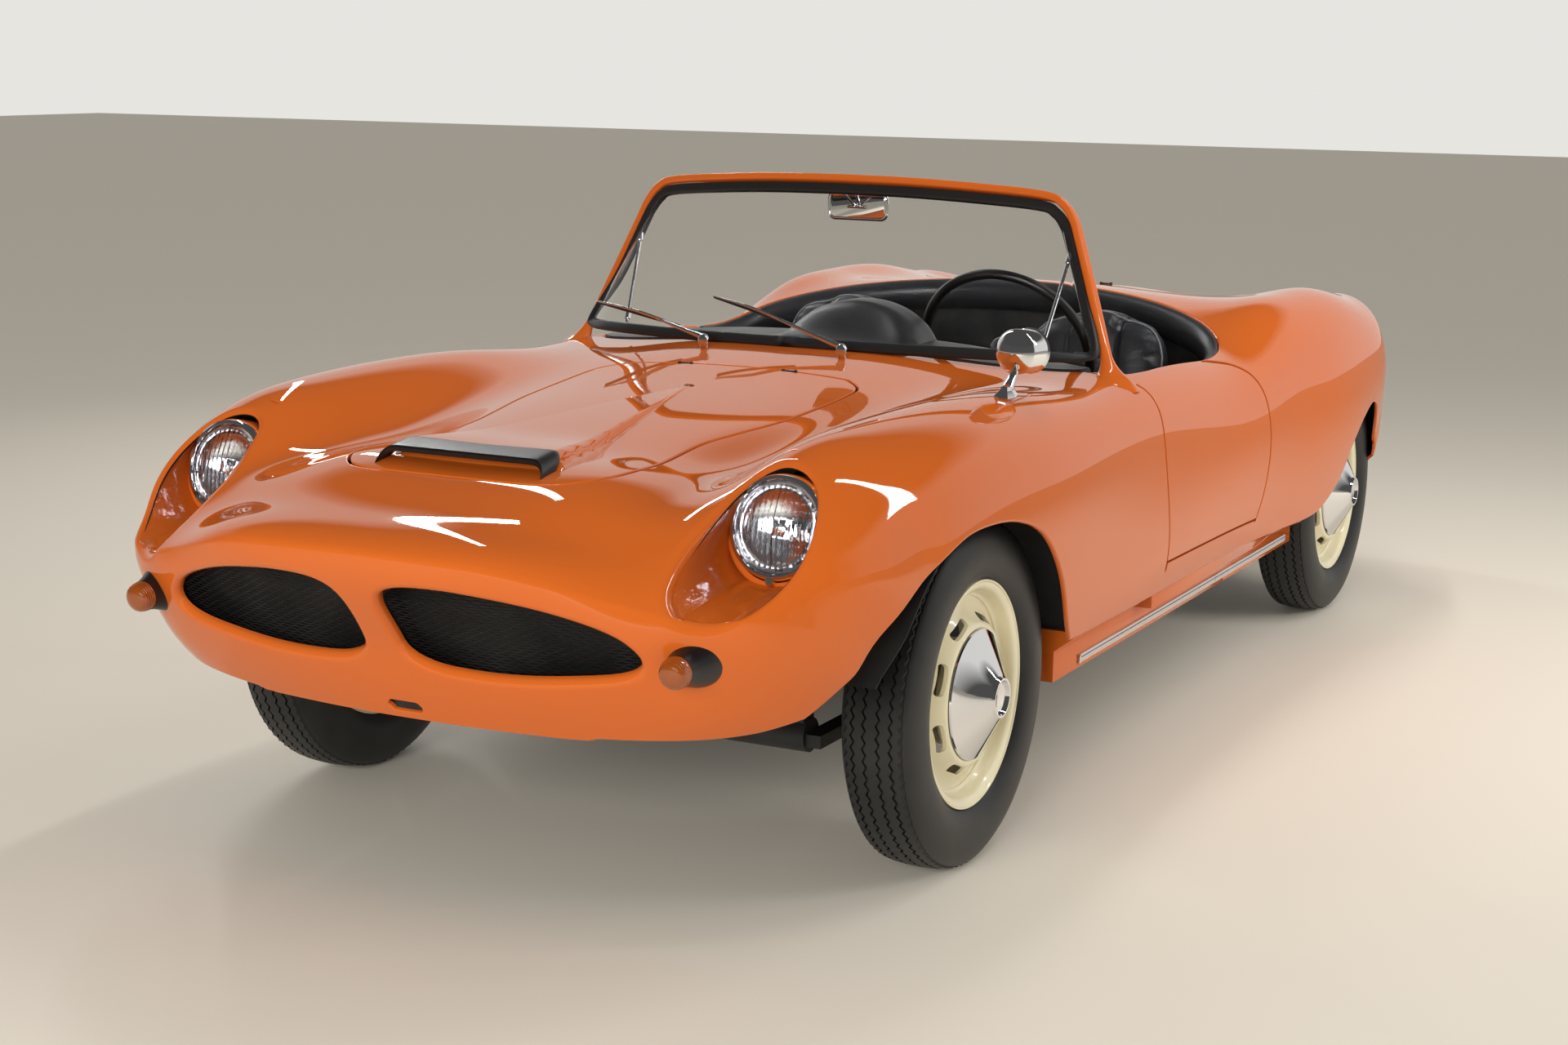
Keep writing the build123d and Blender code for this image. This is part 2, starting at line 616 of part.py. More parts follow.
with BuildPart() as hinge_brackets:
    for side in (1, -1):
        for z in HINGE_HEIGHTS:
            eye_low, eye_high = (DOOR_HINGE_X, hinge_y, z - 20), (DOOR_HINGE_X, hinge_y, z + 20)
            with BuildPart(mode=Mode.PRIVATE) as bracket:
                add(rod(eye_low, eye_high, HINGE_PIN_R + 3.5))
                add(box((HINGE_ARM_X, hinge_y - 4, z - 20), (DOOR_HINGE_X - 4, hinge_y + 4, z + 20)))
                add(box((HINGE_ARM_X, front_end - PILLAR_RECESS, z - 20), (HINGE_ARM_X + 8, hinge_y + 4, z + 20)))
                add(box((HINGE_ARM_X, front_end - PILLAR_RECESS, z - 20),
                        (HINGE_ARM_X + 50, front_end - PILLAR_RECESS + 5, z + 20)))
                add(rod(eye_low, eye_high, HINGE_PIN_R + RUN_GAP), mode=Mode.SUBTRACT)
            add(bracket.part if side == 1 else mirror(bracket.part, about=Plane.YZ, mode=Mode.PRIVATE))
    for side in (1, -1):
        add(seam_hinge(side * BONNET_HINGE_X, fy(BONNET_REAR) + BONNET_HINGE_GAP / 2, BONNET_AXIS_Z, -1)[1])
        add(seam_hinge(side * LID_HINGE_X, ry(LID_FRONT) - BONNET_HINGE_GAP / 2, LID_AXIS_Z, 1)[1])
hinge_brackets.part.label = "hinge_brackets"
export_step(hinge_brackets.part, "parts/hinge_brackets.step")

# Sills: a box under each door, with a plate below that runs from arch to arch
SILL_TOP = DOOR_BOTTOM - SEAM_GAP
SILL_PLATE = (433, WHEELBASE - 340)
SILL_PLATE_X = 690
with BuildPart() as sills:
    for side in (1, -1):
        rings = []
        for y in (front_end, fy(1300), rear_end):
            foot, low = row_between(y)[3:5]
            t = (SILL_TOP - foot[1]) / (low[1] - foot[1])
            ring = [(foot[0], foot[1]), (foot[0] + t * (low[0] - foot[0]), SILL_TOP), (640, SILL_TOP),
                    (640, 302), (foot[0], 302)]
            rings.append([Vector(side * x, y, z) for x, z in ring])
        add(skinned(rings))
        low, high = sorted((side * FLOOR_HALF, side * SILL_PLATE_X))
        add(box((low, fy(SILL_PLATE[0]), FLOOR_Z), (high, fy(SILL_PLATE[1]), 302)))
sills.part.label = "sills"
export_step(sills.part, "parts/sills.step")

STRIP = (569, 1440, WHEELBASE - 398)
STRIP_Z = (250, 268)
with BuildPart() as sill_trims:
    for side in (1, -1):
        for start, end in ((STRIP[0], STRIP[1] - 1), (STRIP[1] + 1, STRIP[2])):
            low, high = sorted((side * SILL_PLATE_X, side * (SILL_PLATE_X + 5)))
            add(box((low, fy(start), STRIP_Z[0]), (high, fy(end), STRIP_Z[1])))
sill_trims.part.label = "sill_trims"
export_step(sill_trims.part, "parts/sill_trims.step")

# Floor: a sheet between the sills with a tunnel, and a head that reaches forward to the axle beam
floor_top = FLOOR_Z + FLOOR_SHEET
FLOOR_ENDS = (433, WHEELBASE - 415)
TUNNEL_END = WHEELBASE - 516
TUNNEL_HALF = 75
TUNNEL_TOP = 350
BULKHEAD_Y = 400
with BuildPart() as floor_pan:
    add(box((-FLOOR_HALF, fy(FLOOR_ENDS[0]), FLOOR_Z), (FLOOR_HALF, fy(FLOOR_ENDS[1]), floor_top)))
    add(box((-TUNNEL_HALF, fy(-BEAM_LEAD) + BEAM_TUBE_R + 8, FLOOR_Z), (TUNNEL_HALF, fy(TUNNEL_END), TUNNEL_TOP)))
    add(box((-TUNNEL_HALF + 6, fy(-BEAM_LEAD) + BEAM_TUBE_R + 16, 0),
            (TUNNEL_HALF - 6, fy(TUNNEL_END - 6), TUNNEL_TOP - 6)), mode=Mode.SUBTRACT)
    add(box((-400, fy(BULKHEAD_Y), FLOOR_Z), (400, fy(FLOOR_ENDS[0]) + 1, floor_top)))
    add(box((-TUNNEL_HALF + 6, fy(300), 0), (TUNNEL_HALF - 6, fy(TUNNEL_END - 6), TUNNEL_TOP - 6)), mode=Mode.SUBTRACT)
floor_pan.part.label = "floor_pan"
export_step(floor_pan.part, "parts/floor_pan.step")

with BuildPart() as front_bulkhead:
    add(box((-392, fy(BULKHEAD_Y), floor_top), (392, fy(BULKHEAD_Y) + 6, 765)))
    add(box((-TUNNEL_HALF, fy(BULKHEAD_Y) - 1, 0), (TUNNEL_HALF, fy(BULKHEAD_Y) + 7, TUNNEL_TOP)),
        mode=Mode.SUBTRACT)
front_bulkhead.part.label = "front_bulkhead"
export_step(front_bulkhead.part, "parts/front_bulkhead.step")

# Cockpit lining: an upright wall behind the seats that follows the rim
with BuildPart() as cockpit_lining:
    outer = mirrored_outline([(x + 16, y + 18) for x, y in COCKPIT_REAR[:5]] + [(646, -775)])
    inner = mirrored_outline([(x + 4, y + 5) for x, y in COCKPIT_REAR[:5]] + [(630, -800)])
    add(prism(Plane.XY.offset(floor_top), [(x, ry(y)) for x, y in outer], 620))
    add(prism(Plane.XY.offset(floor_top), [(x, ry(y)) for x, y in inner], 620),
        mode=Mode.SUBTRACT)
    add(volume_over(rear_end, None, WALL + TRIM_GAP), mode=Mode.INTERSECT)
cockpit_lining.part.label = "cockpit_lining"
export_step(cockpit_lining.part, "parts/cockpit_lining.step")

# Dashboard: a padded top that fills the cowl behind the windscreen, with a hood over the instruments
DASH_BOTTOM = 755
HOOD_X, HOOD_R, HOOD_Z, HOOD_FRONT = 75, 142, 776, 700
with BuildPart() as dashboard:
    rings = []
    for y in (640, 750, 880):
        points = [(DASH_HALF, row_between(fy(y))[FLANK + 3][1])] + [
            p for p in row_between(fy(y))[FLANK + 3:] if p[0] < DASH_HALF]
        top = [Vector(x, fy(y), z + 4) for x, z in points]
        line = top + [Vector(-p.X, p.Y, p.Z) for p in reversed(top[:-1])]
        rings.append(line + [Vector(-DASH_HALF, fy(y), DASH_BOTTOM), Vector(DASH_HALF, fy(y), DASH_BOTTOM)])
    add(skinned(rings))
    front = mirrored_outline([(x, y + TRIM_GAP) for x, y in DASH_FRONT[:-1]]
                             + [(DASH_HALF - TRIM_GAP, DASH_FRONT[-1][1]), (DASH_HALF - TRIM_GAP, 1000)])
    add(prism(Plane.XY.offset(500), [(x, fy(y)) for x, y in front], 600), mode=Mode.INTERSECT)
    with BuildSketch(Plane.XZ.offset(-fy(HOOD_FRONT))):
        with Locations((HOOD_X, HOOD_Z)):
            Circle(HOOD_R)
        with Locations((HOOD_X, HOOD_Z - 200 - 10)):
            Rectangle(400, 400, mode=Mode.SUBTRACT)
    extrude(amount=-180)
dashboard.part.label = "dashboard"
export_step(dashboard.part, "parts/dashboard.step")

# Windscreen. Stations of the hoop on the left, from its foot to the middle of the header: centre, width, depth
HOOP_WIDTH = 22
HOOP_DEPTH = 24
HOOP = [
    ((672, 795, 752), (0.86, -0.5, 0), (0.5, 0.8, -0.3)),
    ((650, 838, 806), (0.86, -0.5, 0.1), (0.5, 0.8, -0.3)),
    ((588, 882, 945), (0.88, -0.3, 0.36), (0.42, 0.85, -0.3)),
    ((528, 916, 1078), (0.88, -0.2, 0.42), (0.4, 0.86, -0.3)),
    ((508, 925, 1118), (0.85, -0.1, 0.52), (0.38, 0.86, -0.35)),
    ((488, 927, 1141), (0.6, 0.1, 0.8), (0.3, 0.88, -0.38)),
    ((455, 920, 1154), (0.25, 0.4, 0.88), (0.22, 0.88, -0.4)),
    ((300, 889, 1166), (0.05, 0.45, 0.88), (0.14, 0.88, -0.45)),
    ((150, 871, 1173), (0.02, 0.46, 0.88), (0.06, 0.88, -0.46)),
    ((0, 866, 1175), (0, 0.46, 0.88), (0, 0.88, -0.46)),
]
SEAL_WIDTH = 18
SEAL_DEPTH = 16
SEAL = [
    ((0, 617, 848), (0, -0.6, -0.8), (0, 0.8, -0.6)),
    ((200, 634, 846), (0.02, -0.6, -0.8), (0.06, 0.8, -0.6)),
    ((400, 690, 842), (0.05, -0.6, -0.8), (0.3, 0.8, -0.5)),
    ((520, 748, 838), (0.15, -0.6, -0.8), (0.4, 0.8, -0.45)),
    ((588, 800, 836), (0.45, -0.55, -0.7), (0.5, 0.8, -0.35)),
    (SCREEN_CORNER, (0.8, -0.5, -0.2), (0.5, 0.8, -0.3)),
    ((570, 874, 938), (0.88, -0.3, 0.3), (0.42, 0.85, -0.3)),
    ((511, 908, 1070), (0.88, -0.2, 0.42), (0.4, 0.86, -0.3)),
    ((491, 918, 1106), (0.85, -0.1, 0.52), (0.38, 0.86, -0.35)),
    ((474, 919, 1124), (0.6, 0.1, 0.8), (0.3, 0.88, -0.38)),
    ((448, 910, 1136), (0.25, 0.4, 0.88), (0.22, 0.88, -0.4)),
    ((300, 880, 1147), (0.05, 0.45, 0.88), (0.14, 0.88, -0.45)),
    ((150, 862, 1154), (0.02, 0.46, 0.88), (0.06, 0.88, -0.46)),
    ((0, 857, 1156), (0, 0.46, 0.88), (0, 0.88, -0.46)),
]


def moved(stations):
    """Stations given behind the front axle, in the car's frame."""
    return [((c[0], fy(c[1]), c[2]), across, normal) for c, across, normal in stations]


with BuildPart() as windscreen_frame:
    half = band(moved(HOOP), HOOP_WIDTH, HOOP_DEPTH)
    add(half)
    add(mirror(half, about=Plane.YZ, mode=Mode.PRIVATE))
    add(front_volume, mode=Mode.SUBTRACT)
windscreen_frame.part.label = "windscreen_frame"
export_step(windscreen_frame.part, "parts/windscreen_frame.step")

with BuildPart() as windscreen_seal:
    half = band(moved(SEAL), SEAL_WIDTH, SEAL_DEPTH)
    add(half)
    add(mirror(half, about=Plane.YZ, mode=Mode.PRIVATE))
    add(front_volume, mode=Mode.SUBTRACT)
    add(windscreen_frame.part, mode=Mode.SUBTRACT)
    add(dashboard.part, mode=Mode.SUBTRACT)
windscreen_seal.part.label = "windscreen_seal"
export_step(windscreen_seal.part, "parts/windscreen_seal.step")

GLASS = 5
# Glass stations: a point in the lower seal and the point in the header seal above it
GLASS_LINES = [((600, 822, 844), (486, 915, 1112)), ((588, 800, 836), (470, 914, 1122)),
               ((520, 748, 838), (440, 907, 1134)), ((400, 690, 842), (300, 880, 1145)),
               ((200, 634, 846), (150, 862, 1152)), ((0, 617, 848), (0, 857, 1154))]
with BuildPart() as windscreen_glass:
    lines = GLASS_LINES + [((-a[0], a[1], a[2]), (-b[0], b[1], b[2])) for a, b in reversed(GLASS_LINES[:-1])]
    rings = []
    for low, high in lines:
        a, b = Vector(low[0], fy(low[1]), low[2]), Vector(high[0], fy(high[1]), high[2])
        step = Vector(low[0] / 1200, 0.8, -0.6).normalized() * (GLASS / 2)
        rings.append([a - step, a + step, b + step, b - step])
    add(skinned(rings))
    add(windscreen_seal.part, mode=Mode.SUBTRACT)
    add(windscreen_frame.part, mode=Mode.SUBTRACT)
    add(front_volume, mode=Mode.SUBTRACT)
    add(dashboard.part, mode=Mode.SUBTRACT)
windscreen_glass.part = windscreen_glass.part.solids().sort_by(SortBy.VOLUME)[-1]
windscreen_glass.part.label = "windscreen_glass"
export_step(windscreen_glass.part, "parts/windscreen_glass.step")

# Wipers: pivot, elbow and tip of each, in front of the glass
WIPERS = [((162, 549, 848), (-30, 606, 900), (-190, 640, 932)), ((-162, 549, 848), (-300, 588, 882),
                                                                (-465, 612, 908))]
with BuildPart() as wipers:
    for pivot, elbow, tip in WIPERS:
        p, e, t = [Vector(x, fy(y), z) for x, y, z in (pivot, elbow, tip)]
        add(rod(p - Vector(0, 0, 30), p + Vector(0, 0, 6), 9))
        add(rod(p, e, 4))
        add(rod(e + (e - t) * 0.35, t, 5))
    add(front_volume, mode=Mode.SUBTRACT)
wipers.part.label = "wipers"
export_step(wipers.part, "parts/wipers.step")

STAYS = ((500, 912, 1032), (507, 800, 850))
with BuildPart() as windscreen_stays:
    for side in (1, -1):
        top, foot = [(side * x, fy(y), z) for x, y, z in STAYS]
        add(rod((foot[0], foot[1], 780), top, 4))
    add(front_volume, mode=Mode.SUBTRACT)
    add(dashboard.part, mode=Mode.SUBTRACT)
windscreen_stays.part.label = "windscreen_stays"
export_step(windscreen_stays.part, "parts/windscreen_stays.step")

# Wing mirror on the left wing, and the mirror under the header
MIRROR_AT = (640, 349, 899)
MIRROR_R = 47
with BuildPart() as wing_mirror:
    with Locations((MIRROR_AT[0], fy(MIRROR_AT[1]), MIRROR_AT[2])):
        Sphere(MIRROR_R)
    add(box((500, fy(MIRROR_AT[1] + 28), 800), (800, fy(500), 1000)), mode=Mode.SUBTRACT)
    with BuildSketch(Plane.XY.offset(790)):
        with Locations((MIRROR_AT[0], fy(274))):
            Ellipse(22, 34)
    with BuildSketch(Plane.XY.offset(872)):
        with Locations((MIRROR_AT[0], fy(330))):
            Ellipse(9, 12)
    loft(ruled=True)
    add(front_volume, mode=Mode.SUBTRACT)
wing_mirror.part.label = "wing_mirror"
export_step(wing_mirror.part, "parts/wing_mirror.step")

with BuildPart() as interior_mirror:
    with BuildSketch(Plane.XZ.offset(-fy(952))):
        with Locations((0, 1114)):
            RectangleRounded(140, 58, 18)
    extrude(amount=-14)
    for side in (1, -1):
        add(rod((side * 12, fy(954), 1122), (side * 22, fy(870), 1174), 3))
    add(windscreen_seal.part, mode=Mode.SUBTRACT)
    add(windscreen_glass.part, mode=Mode.SUBTRACT)
    add(windscreen_frame.part, mode=Mode.SUBTRACT)
interior_mirror.part.label = "interior_mirror"
export_step(interior_mirror.part, "parts/interior_mirror.step")

# Seats
SEAT_X = (132, 523)
CUSHION_Y = (1120, 1500)
CUSHION_TOP = 455
BACK_TOP = 845
BACK_THICK = 110
with BuildPart() as seat_cushions:
    for side in (1, -1):
        low, high = sorted((side * SEAT_X[0], side * SEAT_X[1]))
        add(box((low, fy(CUSHION_Y[0]), floor_top), (high, fy(CUSHION_Y[1]), CUSHION_TOP)))
seat_cushions.part.label = "seat_cushions"
export_step(seat_cushions.part, "parts/seat_cushions.step")

with BuildPart() as seat_backs:
    for side in (1, -1):
        low, high = sorted((side * SEAT_X[0], side * SEAT_X[1]))
        outline = [(fy(CUSHION_Y[1]) + TRIM_GAP, floor_top), (fy(CUSHION_Y[1]) + TRIM_GAP, CUSHION_TOP),
                   (fy(1590), BACK_TOP - 20), (fy(1612), BACK_TOP), (fy(1640), BACK_TOP), (fy(1658), BACK_TOP - 20),
                   (fy(1600), 400), (fy(1600), floor_top)]
        add(prism(Plane.YZ.offset(low), outline, high - low))
seat_backs.part.label = "seat_backs"
export_step(seat_backs.part, "parts/seat_backs.step")

# Steering column and wheel on one tilted line
tilt = math.radians(COLUMN_TILT)
column_dir = Vector(0, math.cos(tilt), math.sin(tilt))
hub = Vector(COLUMN_X, fy(WHEEL_HUB_Y), WHEEL_HUB_Z)
column_top = hub - column_dir * 25
column_length = (hub.Y - fy(BULKHEAD_Y) - 6) / math.cos(tilt)
with BuildPart() as steering_column:
    add(rod(tuple(column_top), tuple(hub - column_dir * (column_length + 40)), COLUMN_R))
    add(rod(tuple(hub), tuple(hub - column_dir * 90), COLUMN_BORE_R), mode=Mode.SUBTRACT)
    add(box((COLUMN_X - 15, fy(820), 700), (COLUMN_X + 15, fy(860), DASH_BOTTOM)))
    add(box((COLUMN_X - 40, fy(BULKHEAD_Y) - 100, 300), (COLUMN_X + 40, fy(BULKHEAD_Y) + 6, 700)),
        mode=Mode.SUBTRACT)
steering_column.part.label = "steering_column"
export_step(steering_column.part, "parts/steering_column.step")

with BuildPart() as steering_wheel:
    with BuildSketch(Plane(origin=hub, x_dir=(1, 0, 0), z_dir=column_dir)):
        Circle(28)
    extrude(amount=22)
    with BuildSketch(Plane(origin=hub + column_dir * 2, x_dir=(1, 0, 0), z_dir=column_dir)):
        for turn in (0, 180, 270):
            with Locations(Location((0, 0, 0), turn)):
                with Locations((STEER_RING_R / 2, 0)):
                    Rectangle(STEER_RING_R, 26)
    extrude(amount=5)
    with Locations(Plane(origin=hub + column_dir * 8, x_dir=(1, 0, 0), z_dir=column_dir)):
        Torus(STEER_RING_R, STEER_GRIP_R)
    add(rod(tuple(hub), tuple(hub - column_dir * 70), COLUMN_BORE_R - RUN_GAP))
steering_wheel.part.label = "steering_wheel"
export_step(steering_wheel.part, "parts/steering_wheel.step")

with BuildPart() as floor_levers:
    add(rod((0, fy(1050), TUNNEL_TOP - 0.3), (0, fy(1050), TUNNEL_TOP + 12), 30))
    add(rod((0, fy(1050), TUNNEL_TOP + 8), (0, fy(1075), 560), 6))
    with Locations((0, fy(1076), 570)):
        Sphere(20)
    add(box((-12, fy(1280), TUNNEL_TOP), (12, fy(1360), TUNNEL_TOP + 30)))
    add(rod((0, fy(1330), TUNNEL_TOP + 20), (0, fy(1160), TUNNEL_TOP + 110), 9))
    add(box((-60, fy(900), 200), (60, fy(1500), TUNNEL_TOP)), mode=Mode.SUBTRACT)
floor_levers.part.label = "floor_levers"
export_step(floor_levers.part, "parts/floor_levers.step")

# Front axle: two cross tubes, trailing arms and a kingpin for each knuckle
kingpin_x = TRACK / 2 - KINGPIN_INSET
with BuildPart() as front_axle_beam:
    for z in BEAM_Z:
        add(rod((-445, fy(-BEAM_LEAD), z), (445, fy(-BEAM_LEAD), z), BEAM_TUBE_R))
    add(box((-70, fy(-BEAM_LEAD), BEAM_Z[0] - 20), (70, fy(-BEAM_LEAD) + BEAM_TUBE_R + 8, BEAM_Z[1] + 20)))
    for side in (1, -1):
        low, high = sorted((side * 400, side * 440))
        add(box((low, fy(-BEAM_LEAD) - 20, BEAM_Z[0]), (high, fy(-BEAM_LEAD) + 20, BEAM_Z[1])))
        for z, link in ((BEAM_Z[0] - 12, BEAM_Z[0]), (BEAM_Z[1] + 2, BEAM_Z[1] + 14)):
            low, high = sorted((side * 440, side * 475))
            add(box((low, fy(-BEAM_LEAD) - 22, z - 6), (high, fy(15), z + 18)))
            low, high = sorted((side * 445, side * (kingpin_x + KINGPIN_R + 1)))
            add(box((low, fy(-12), z - 2), (high, fy(12), z + 10)))
        add(rod((side * kingpin_x, fy(0), BEAM_Z[0] - 14), (side * kingpin_x, fy(0), BEAM_Z[1] + 12), KINGPIN_R))
front_axle_beam.part.label = "front_axle_beam"
export_step(front_axle_beam.part, "parts/front_axle_beam.step")

for side, name in ((1, "knuckle_left"), (-1, "knuckle_right")):
    with BuildPart() as knuckle:
        add(rod((side * kingpin_x, fy(0), BEAM_Z[0] + 4), (side * kingpin_x, fy(0), BEAM_Z[1] - 6), KNUCKLE_R))
        add(rod((side * kingpin_x, fy(0), TYRE_R), (side * (TRACK / 2 + 55), fy(0), TYRE_R), SPINDLE_R))
        add(rod((side * (TRACK / 2 - 57), fy(0), TYRE_R), (side * (TRACK / 2 - 51), fy(0), TYRE_R), DRUM_R - 4))
        low, high = sorted((side * (kingpin_x - 14), side * (kingpin_x + 6)))
        add(box((low, fy(0), 268), (high, fy(120), 280)))
        add(rod((side * kingpin_x, fy(0), 200), (side * kingpin_x, fy(0), 450), KINGPIN_R + RUN_GAP),
            mode=Mode.SUBTRACT)
    knuckle.part.label = name
    export_step(knuckle.part, f"parts/{name}.step")

# Rear axle: cross tube, spring plates, transaxle case and the stub shafts in one carrier
TORSION_Y = -450
TORSION_R = 40
PLATE_X = 510
with BuildPart() as rear_axle:
    add(rod((-PLATE_X, ry(TORSION_Y), floor_top + TORSION_R + 2), (PLATE_X, ry(TORSION_Y), floor_top + TORSION_R + 2),
            TORSION_R))
    add(box((-90, ry(TORSION_Y), 262), (90, ry(70), 400)))
    add(rod((-(TRACK / 2 + 55), ry(0), TYRE_R), (TRACK / 2 + 55, ry(0), TYRE_R), SPINDLE_R))
    for side in (1, -1):
        low, high = sorted((side * 300, side * 360))
        add(box((low, ry(TORSION_Y) - 20, floor_top), (high, ry(TORSION_Y) + 20, floor_top + 30)))
        low, high = sorted((side * PLATE_X, side * (PLATE_X - 8)))
        add(box((low, ry(TORSION_Y) - 30, 270), (high, ry(40), 350)))
        add(rod((side * 80, ry(0), TYRE_R), (side * (TRACK / 2 - 60), ry(0), TYRE_R), 30))
        add(rod((side * (TRACK / 2 - 57), ry(0), TYRE_R), (side * (TRACK / 2 - 51), ry(0), TYRE_R), DRUM_R - 4))
rear_axle.part.label = "rear_axle"
export_step(rear_axle.part, "parts/rear_axle.step")

ENGINE = ((-290, 70, 265), (290, 430, 590))
with BuildPart() as engine_block:
    add(box((ENGINE[0][0], ry(ENGINE[0][1]), ENGINE[0][2]), (ENGINE[1][0], ry(ENGINE[1][1]), ENGINE[1][2])))
engine_block.part.label = "engine_block"
export_step(engine_block.part, "parts/engine_block.step")

SILENCER_Y = 520
SILENCER_Z = 330
PIPE_Z = SILENCER_Z - 30
PIPE_END = SILENCER_Y + 190
SPIGOT = 40
SPIGOT_R = 16
with BuildPart() as exhaust:
    add(rod((-270, ry(SILENCER_Y), SILENCER_Z), (270, ry(SILENCER_Y), SILENCER_Z), 58))
    for side in (1, -1):
        add(rod((side * 220, ry(ENGINE[1][1]), SILENCER_Z), (side * 220, ry(SILENCER_Y), SILENCER_Z), 20))
        add(rod((side * 160, ry(SILENCER_Y), PIPE_Z), (side * 160, ry(PIPE_END - SPIGOT), PIPE_Z), SPIGOT_R + 2))
        add(rod((side * 160, ry(SILENCER_Y), PIPE_Z), (side * 160, ry(PIPE_END), PIPE_Z), SPIGOT_R))
        add(rod((side * 160, ry(SILENCER_Y) + 60, PIPE_Z), (side * 160, ry(PIPE_END) + 1, PIPE_Z), SPIGOT_R - 3),
            mode=Mode.SUBTRACT)
exhaust.part.label = "exhaust"
export_step(exhaust.part, "parts/exhaust.step")

# Headlamps: a bowl that stands on the nacelle's back, and its lens
with BuildPart() as headlamp_bowls:
    for side in (1, -1):
        rim = Vector(side * LAMP_X, fy(LAMP_Y), LAMP_Z)
        seat = Vector(side * LAMP_X, lamp_back, LAMP_Z) + nacelle_line * NACELLE_WALL
        with BuildPart(mode=Mode.PRIVATE) as bowl:
            with BuildSketch(Plane(origin=rim, z_dir=LAMP_FORWARD)):
                Circle(LAMP_R)
            extrude(amount=-16)
            with BuildSketch(Plane(origin=rim - LAMP_FORWARD * 14, z_dir=LAMP_FORWARD)):
                Circle(60)
            extrude(amount=-90)
            with BuildSketch(Plane(origin=rim - LAMP_FORWARD * 8, z_dir=LAMP_FORWARD)):
                Circle(LAMP_R - 8)
            extrude(amount=20, mode=Mode.SUBTRACT)
            with BuildSketch(Plane(origin=seat, z_dir=nacelle_line)):
                Circle(400)
            extrude(amount=200, mode=Mode.INTERSECT)
        add(bowl.part)
headlamp_bowls.part.label = "headlamp_bowls"
export_step(headlamp_bowls.part, "parts/headlamp_bowls.step")

with BuildPart() as headlamp_lenses:
    for side in (1, -1):
        rim = Vector(side * LAMP_X, fy(LAMP_Y), LAMP_Z)
        with BuildPart(mode=Mode.PRIVATE) as lens:
            with BuildSketch(Plane(origin=rim - LAMP_FORWARD * (8 - TRIM_GAP), z_dir=LAMP_FORWARD)):
                Circle(LAMP_R - 8 - TRIM_GAP)
            with BuildSketch(Plane(origin=rim + LAMP_FORWARD * 4, z_dir=LAMP_FORWARD)):
                Circle(LAMP_R - 9)
            with BuildSketch(Plane(origin=rim + LAMP_FORWARD * 14, z_dir=LAMP_FORWARD)):
                Circle(LAMP_R - 50)
            loft(ruled=True)
        add(lens.part)
headlamp_lenses.part.label = "headlamp_lenses"
export_step(headlamp_lenses.part, "parts/headlamp_lenses.step")

# Grilles: curved mesh sheets seated behind the openings
GRILLE_SHEET = 6
GRILLE_LAP = 8
grille_layer = shell_over(None, front_end, WALL + TRIM_GAP, WALL + TRIM_GAP + GRILLE_SHEET)
with BuildPart() as grilles:
    for side in (1, -1):
        outline = [(side * x, z) for x, z in grown(GRILLE_OUTLINE, GRILLE_LAP)]
        sheet = prism(Plane.XZ.offset(-fy(-640)), outline, 300)
        with BuildPart(mode=Mode.PRIVATE) as mesh:
            add(grille_layer)
            add(sheet, mode=Mode.INTERSECT)
        add(mesh.part)
grilles.part.label = "grilles"
export_step(grilles.part, "parts/grilles.step")

# Direction indicators on the nose: a black cone and an amber lens
INDICATOR_BASE = (548, -690, 494)
INDICATOR_NECK = (537, -762, 505)
INDICATOR_TIP = tuple(n + 0.385 * (n - b) for b, n in zip(INDICATOR_BASE, INDICATOR_NECK))
INDICATOR_R = (40, 27)


def cone_between(start, end, r_start, r_end):
    """A round bar whose radius changes from one end to the other."""
    a, b = Vector(*start), Vector(*end)
    with BuildPart(mode=Mode.PRIVATE) as bar:
        with BuildSketch(Plane(origin=a, z_dir=b - a)):
            Circle(r_start)
        with BuildSketch(Plane(origin=b, z_dir=b - a)):
            Circle(r_end)
        loft(ruled=True)
    return bar.part


def on_side(point, side):
    """A point given for the left, on either side, in the car's frame."""
    return (side * point[0], fy(point[1]), point[2])


with BuildPart() as indicator_housings:
    for side in (1, -1):
        add(cone_between(on_side(INDICATOR_BASE, side), on_side(INDICATOR_NECK, side), *INDICATOR_R))
    add(front_volume, mode=Mode.SUBTRACT)
indicator_housings.part.label = "indicator_housings"
export_step(indicator_housings.part, "parts/indicator_housings.step")

with BuildPart() as indicator_lenses:
    for side in (1, -1):
        add(cone_between(on_side(INDICATOR_NECK, side), on_side(INDICATOR_TIP, side), INDICATOR_R[1] - 1, 15))
indicator_lenses.part.label = "indicator_lenses"
export_step(indicator_lenses.part, "parts/indicator_lenses.step")

# Tail lamps
TAIL_LAMP = (520, 600, 590)
TAIL_LAMP_R = 38
with BuildPart() as tail_lamps:
    for side in (1, -1):
        start = (side * TAIL_LAMP[0], ry(TAIL_LAMP[1]) - 120, TAIL_LAMP[2])
        end = (side * TAIL_LAMP[0], ry(TAIL_LAMP[1]) + 12, TAIL_LAMP[2])
        add(rod(start, end, TAIL_LAMP_R))
    add(rear_volume, mode=Mode.SUBTRACT)
tail_lamps.part.label = "tail_lamps"
export_step(tail_lamps.part, "parts/tail_lamps.step")

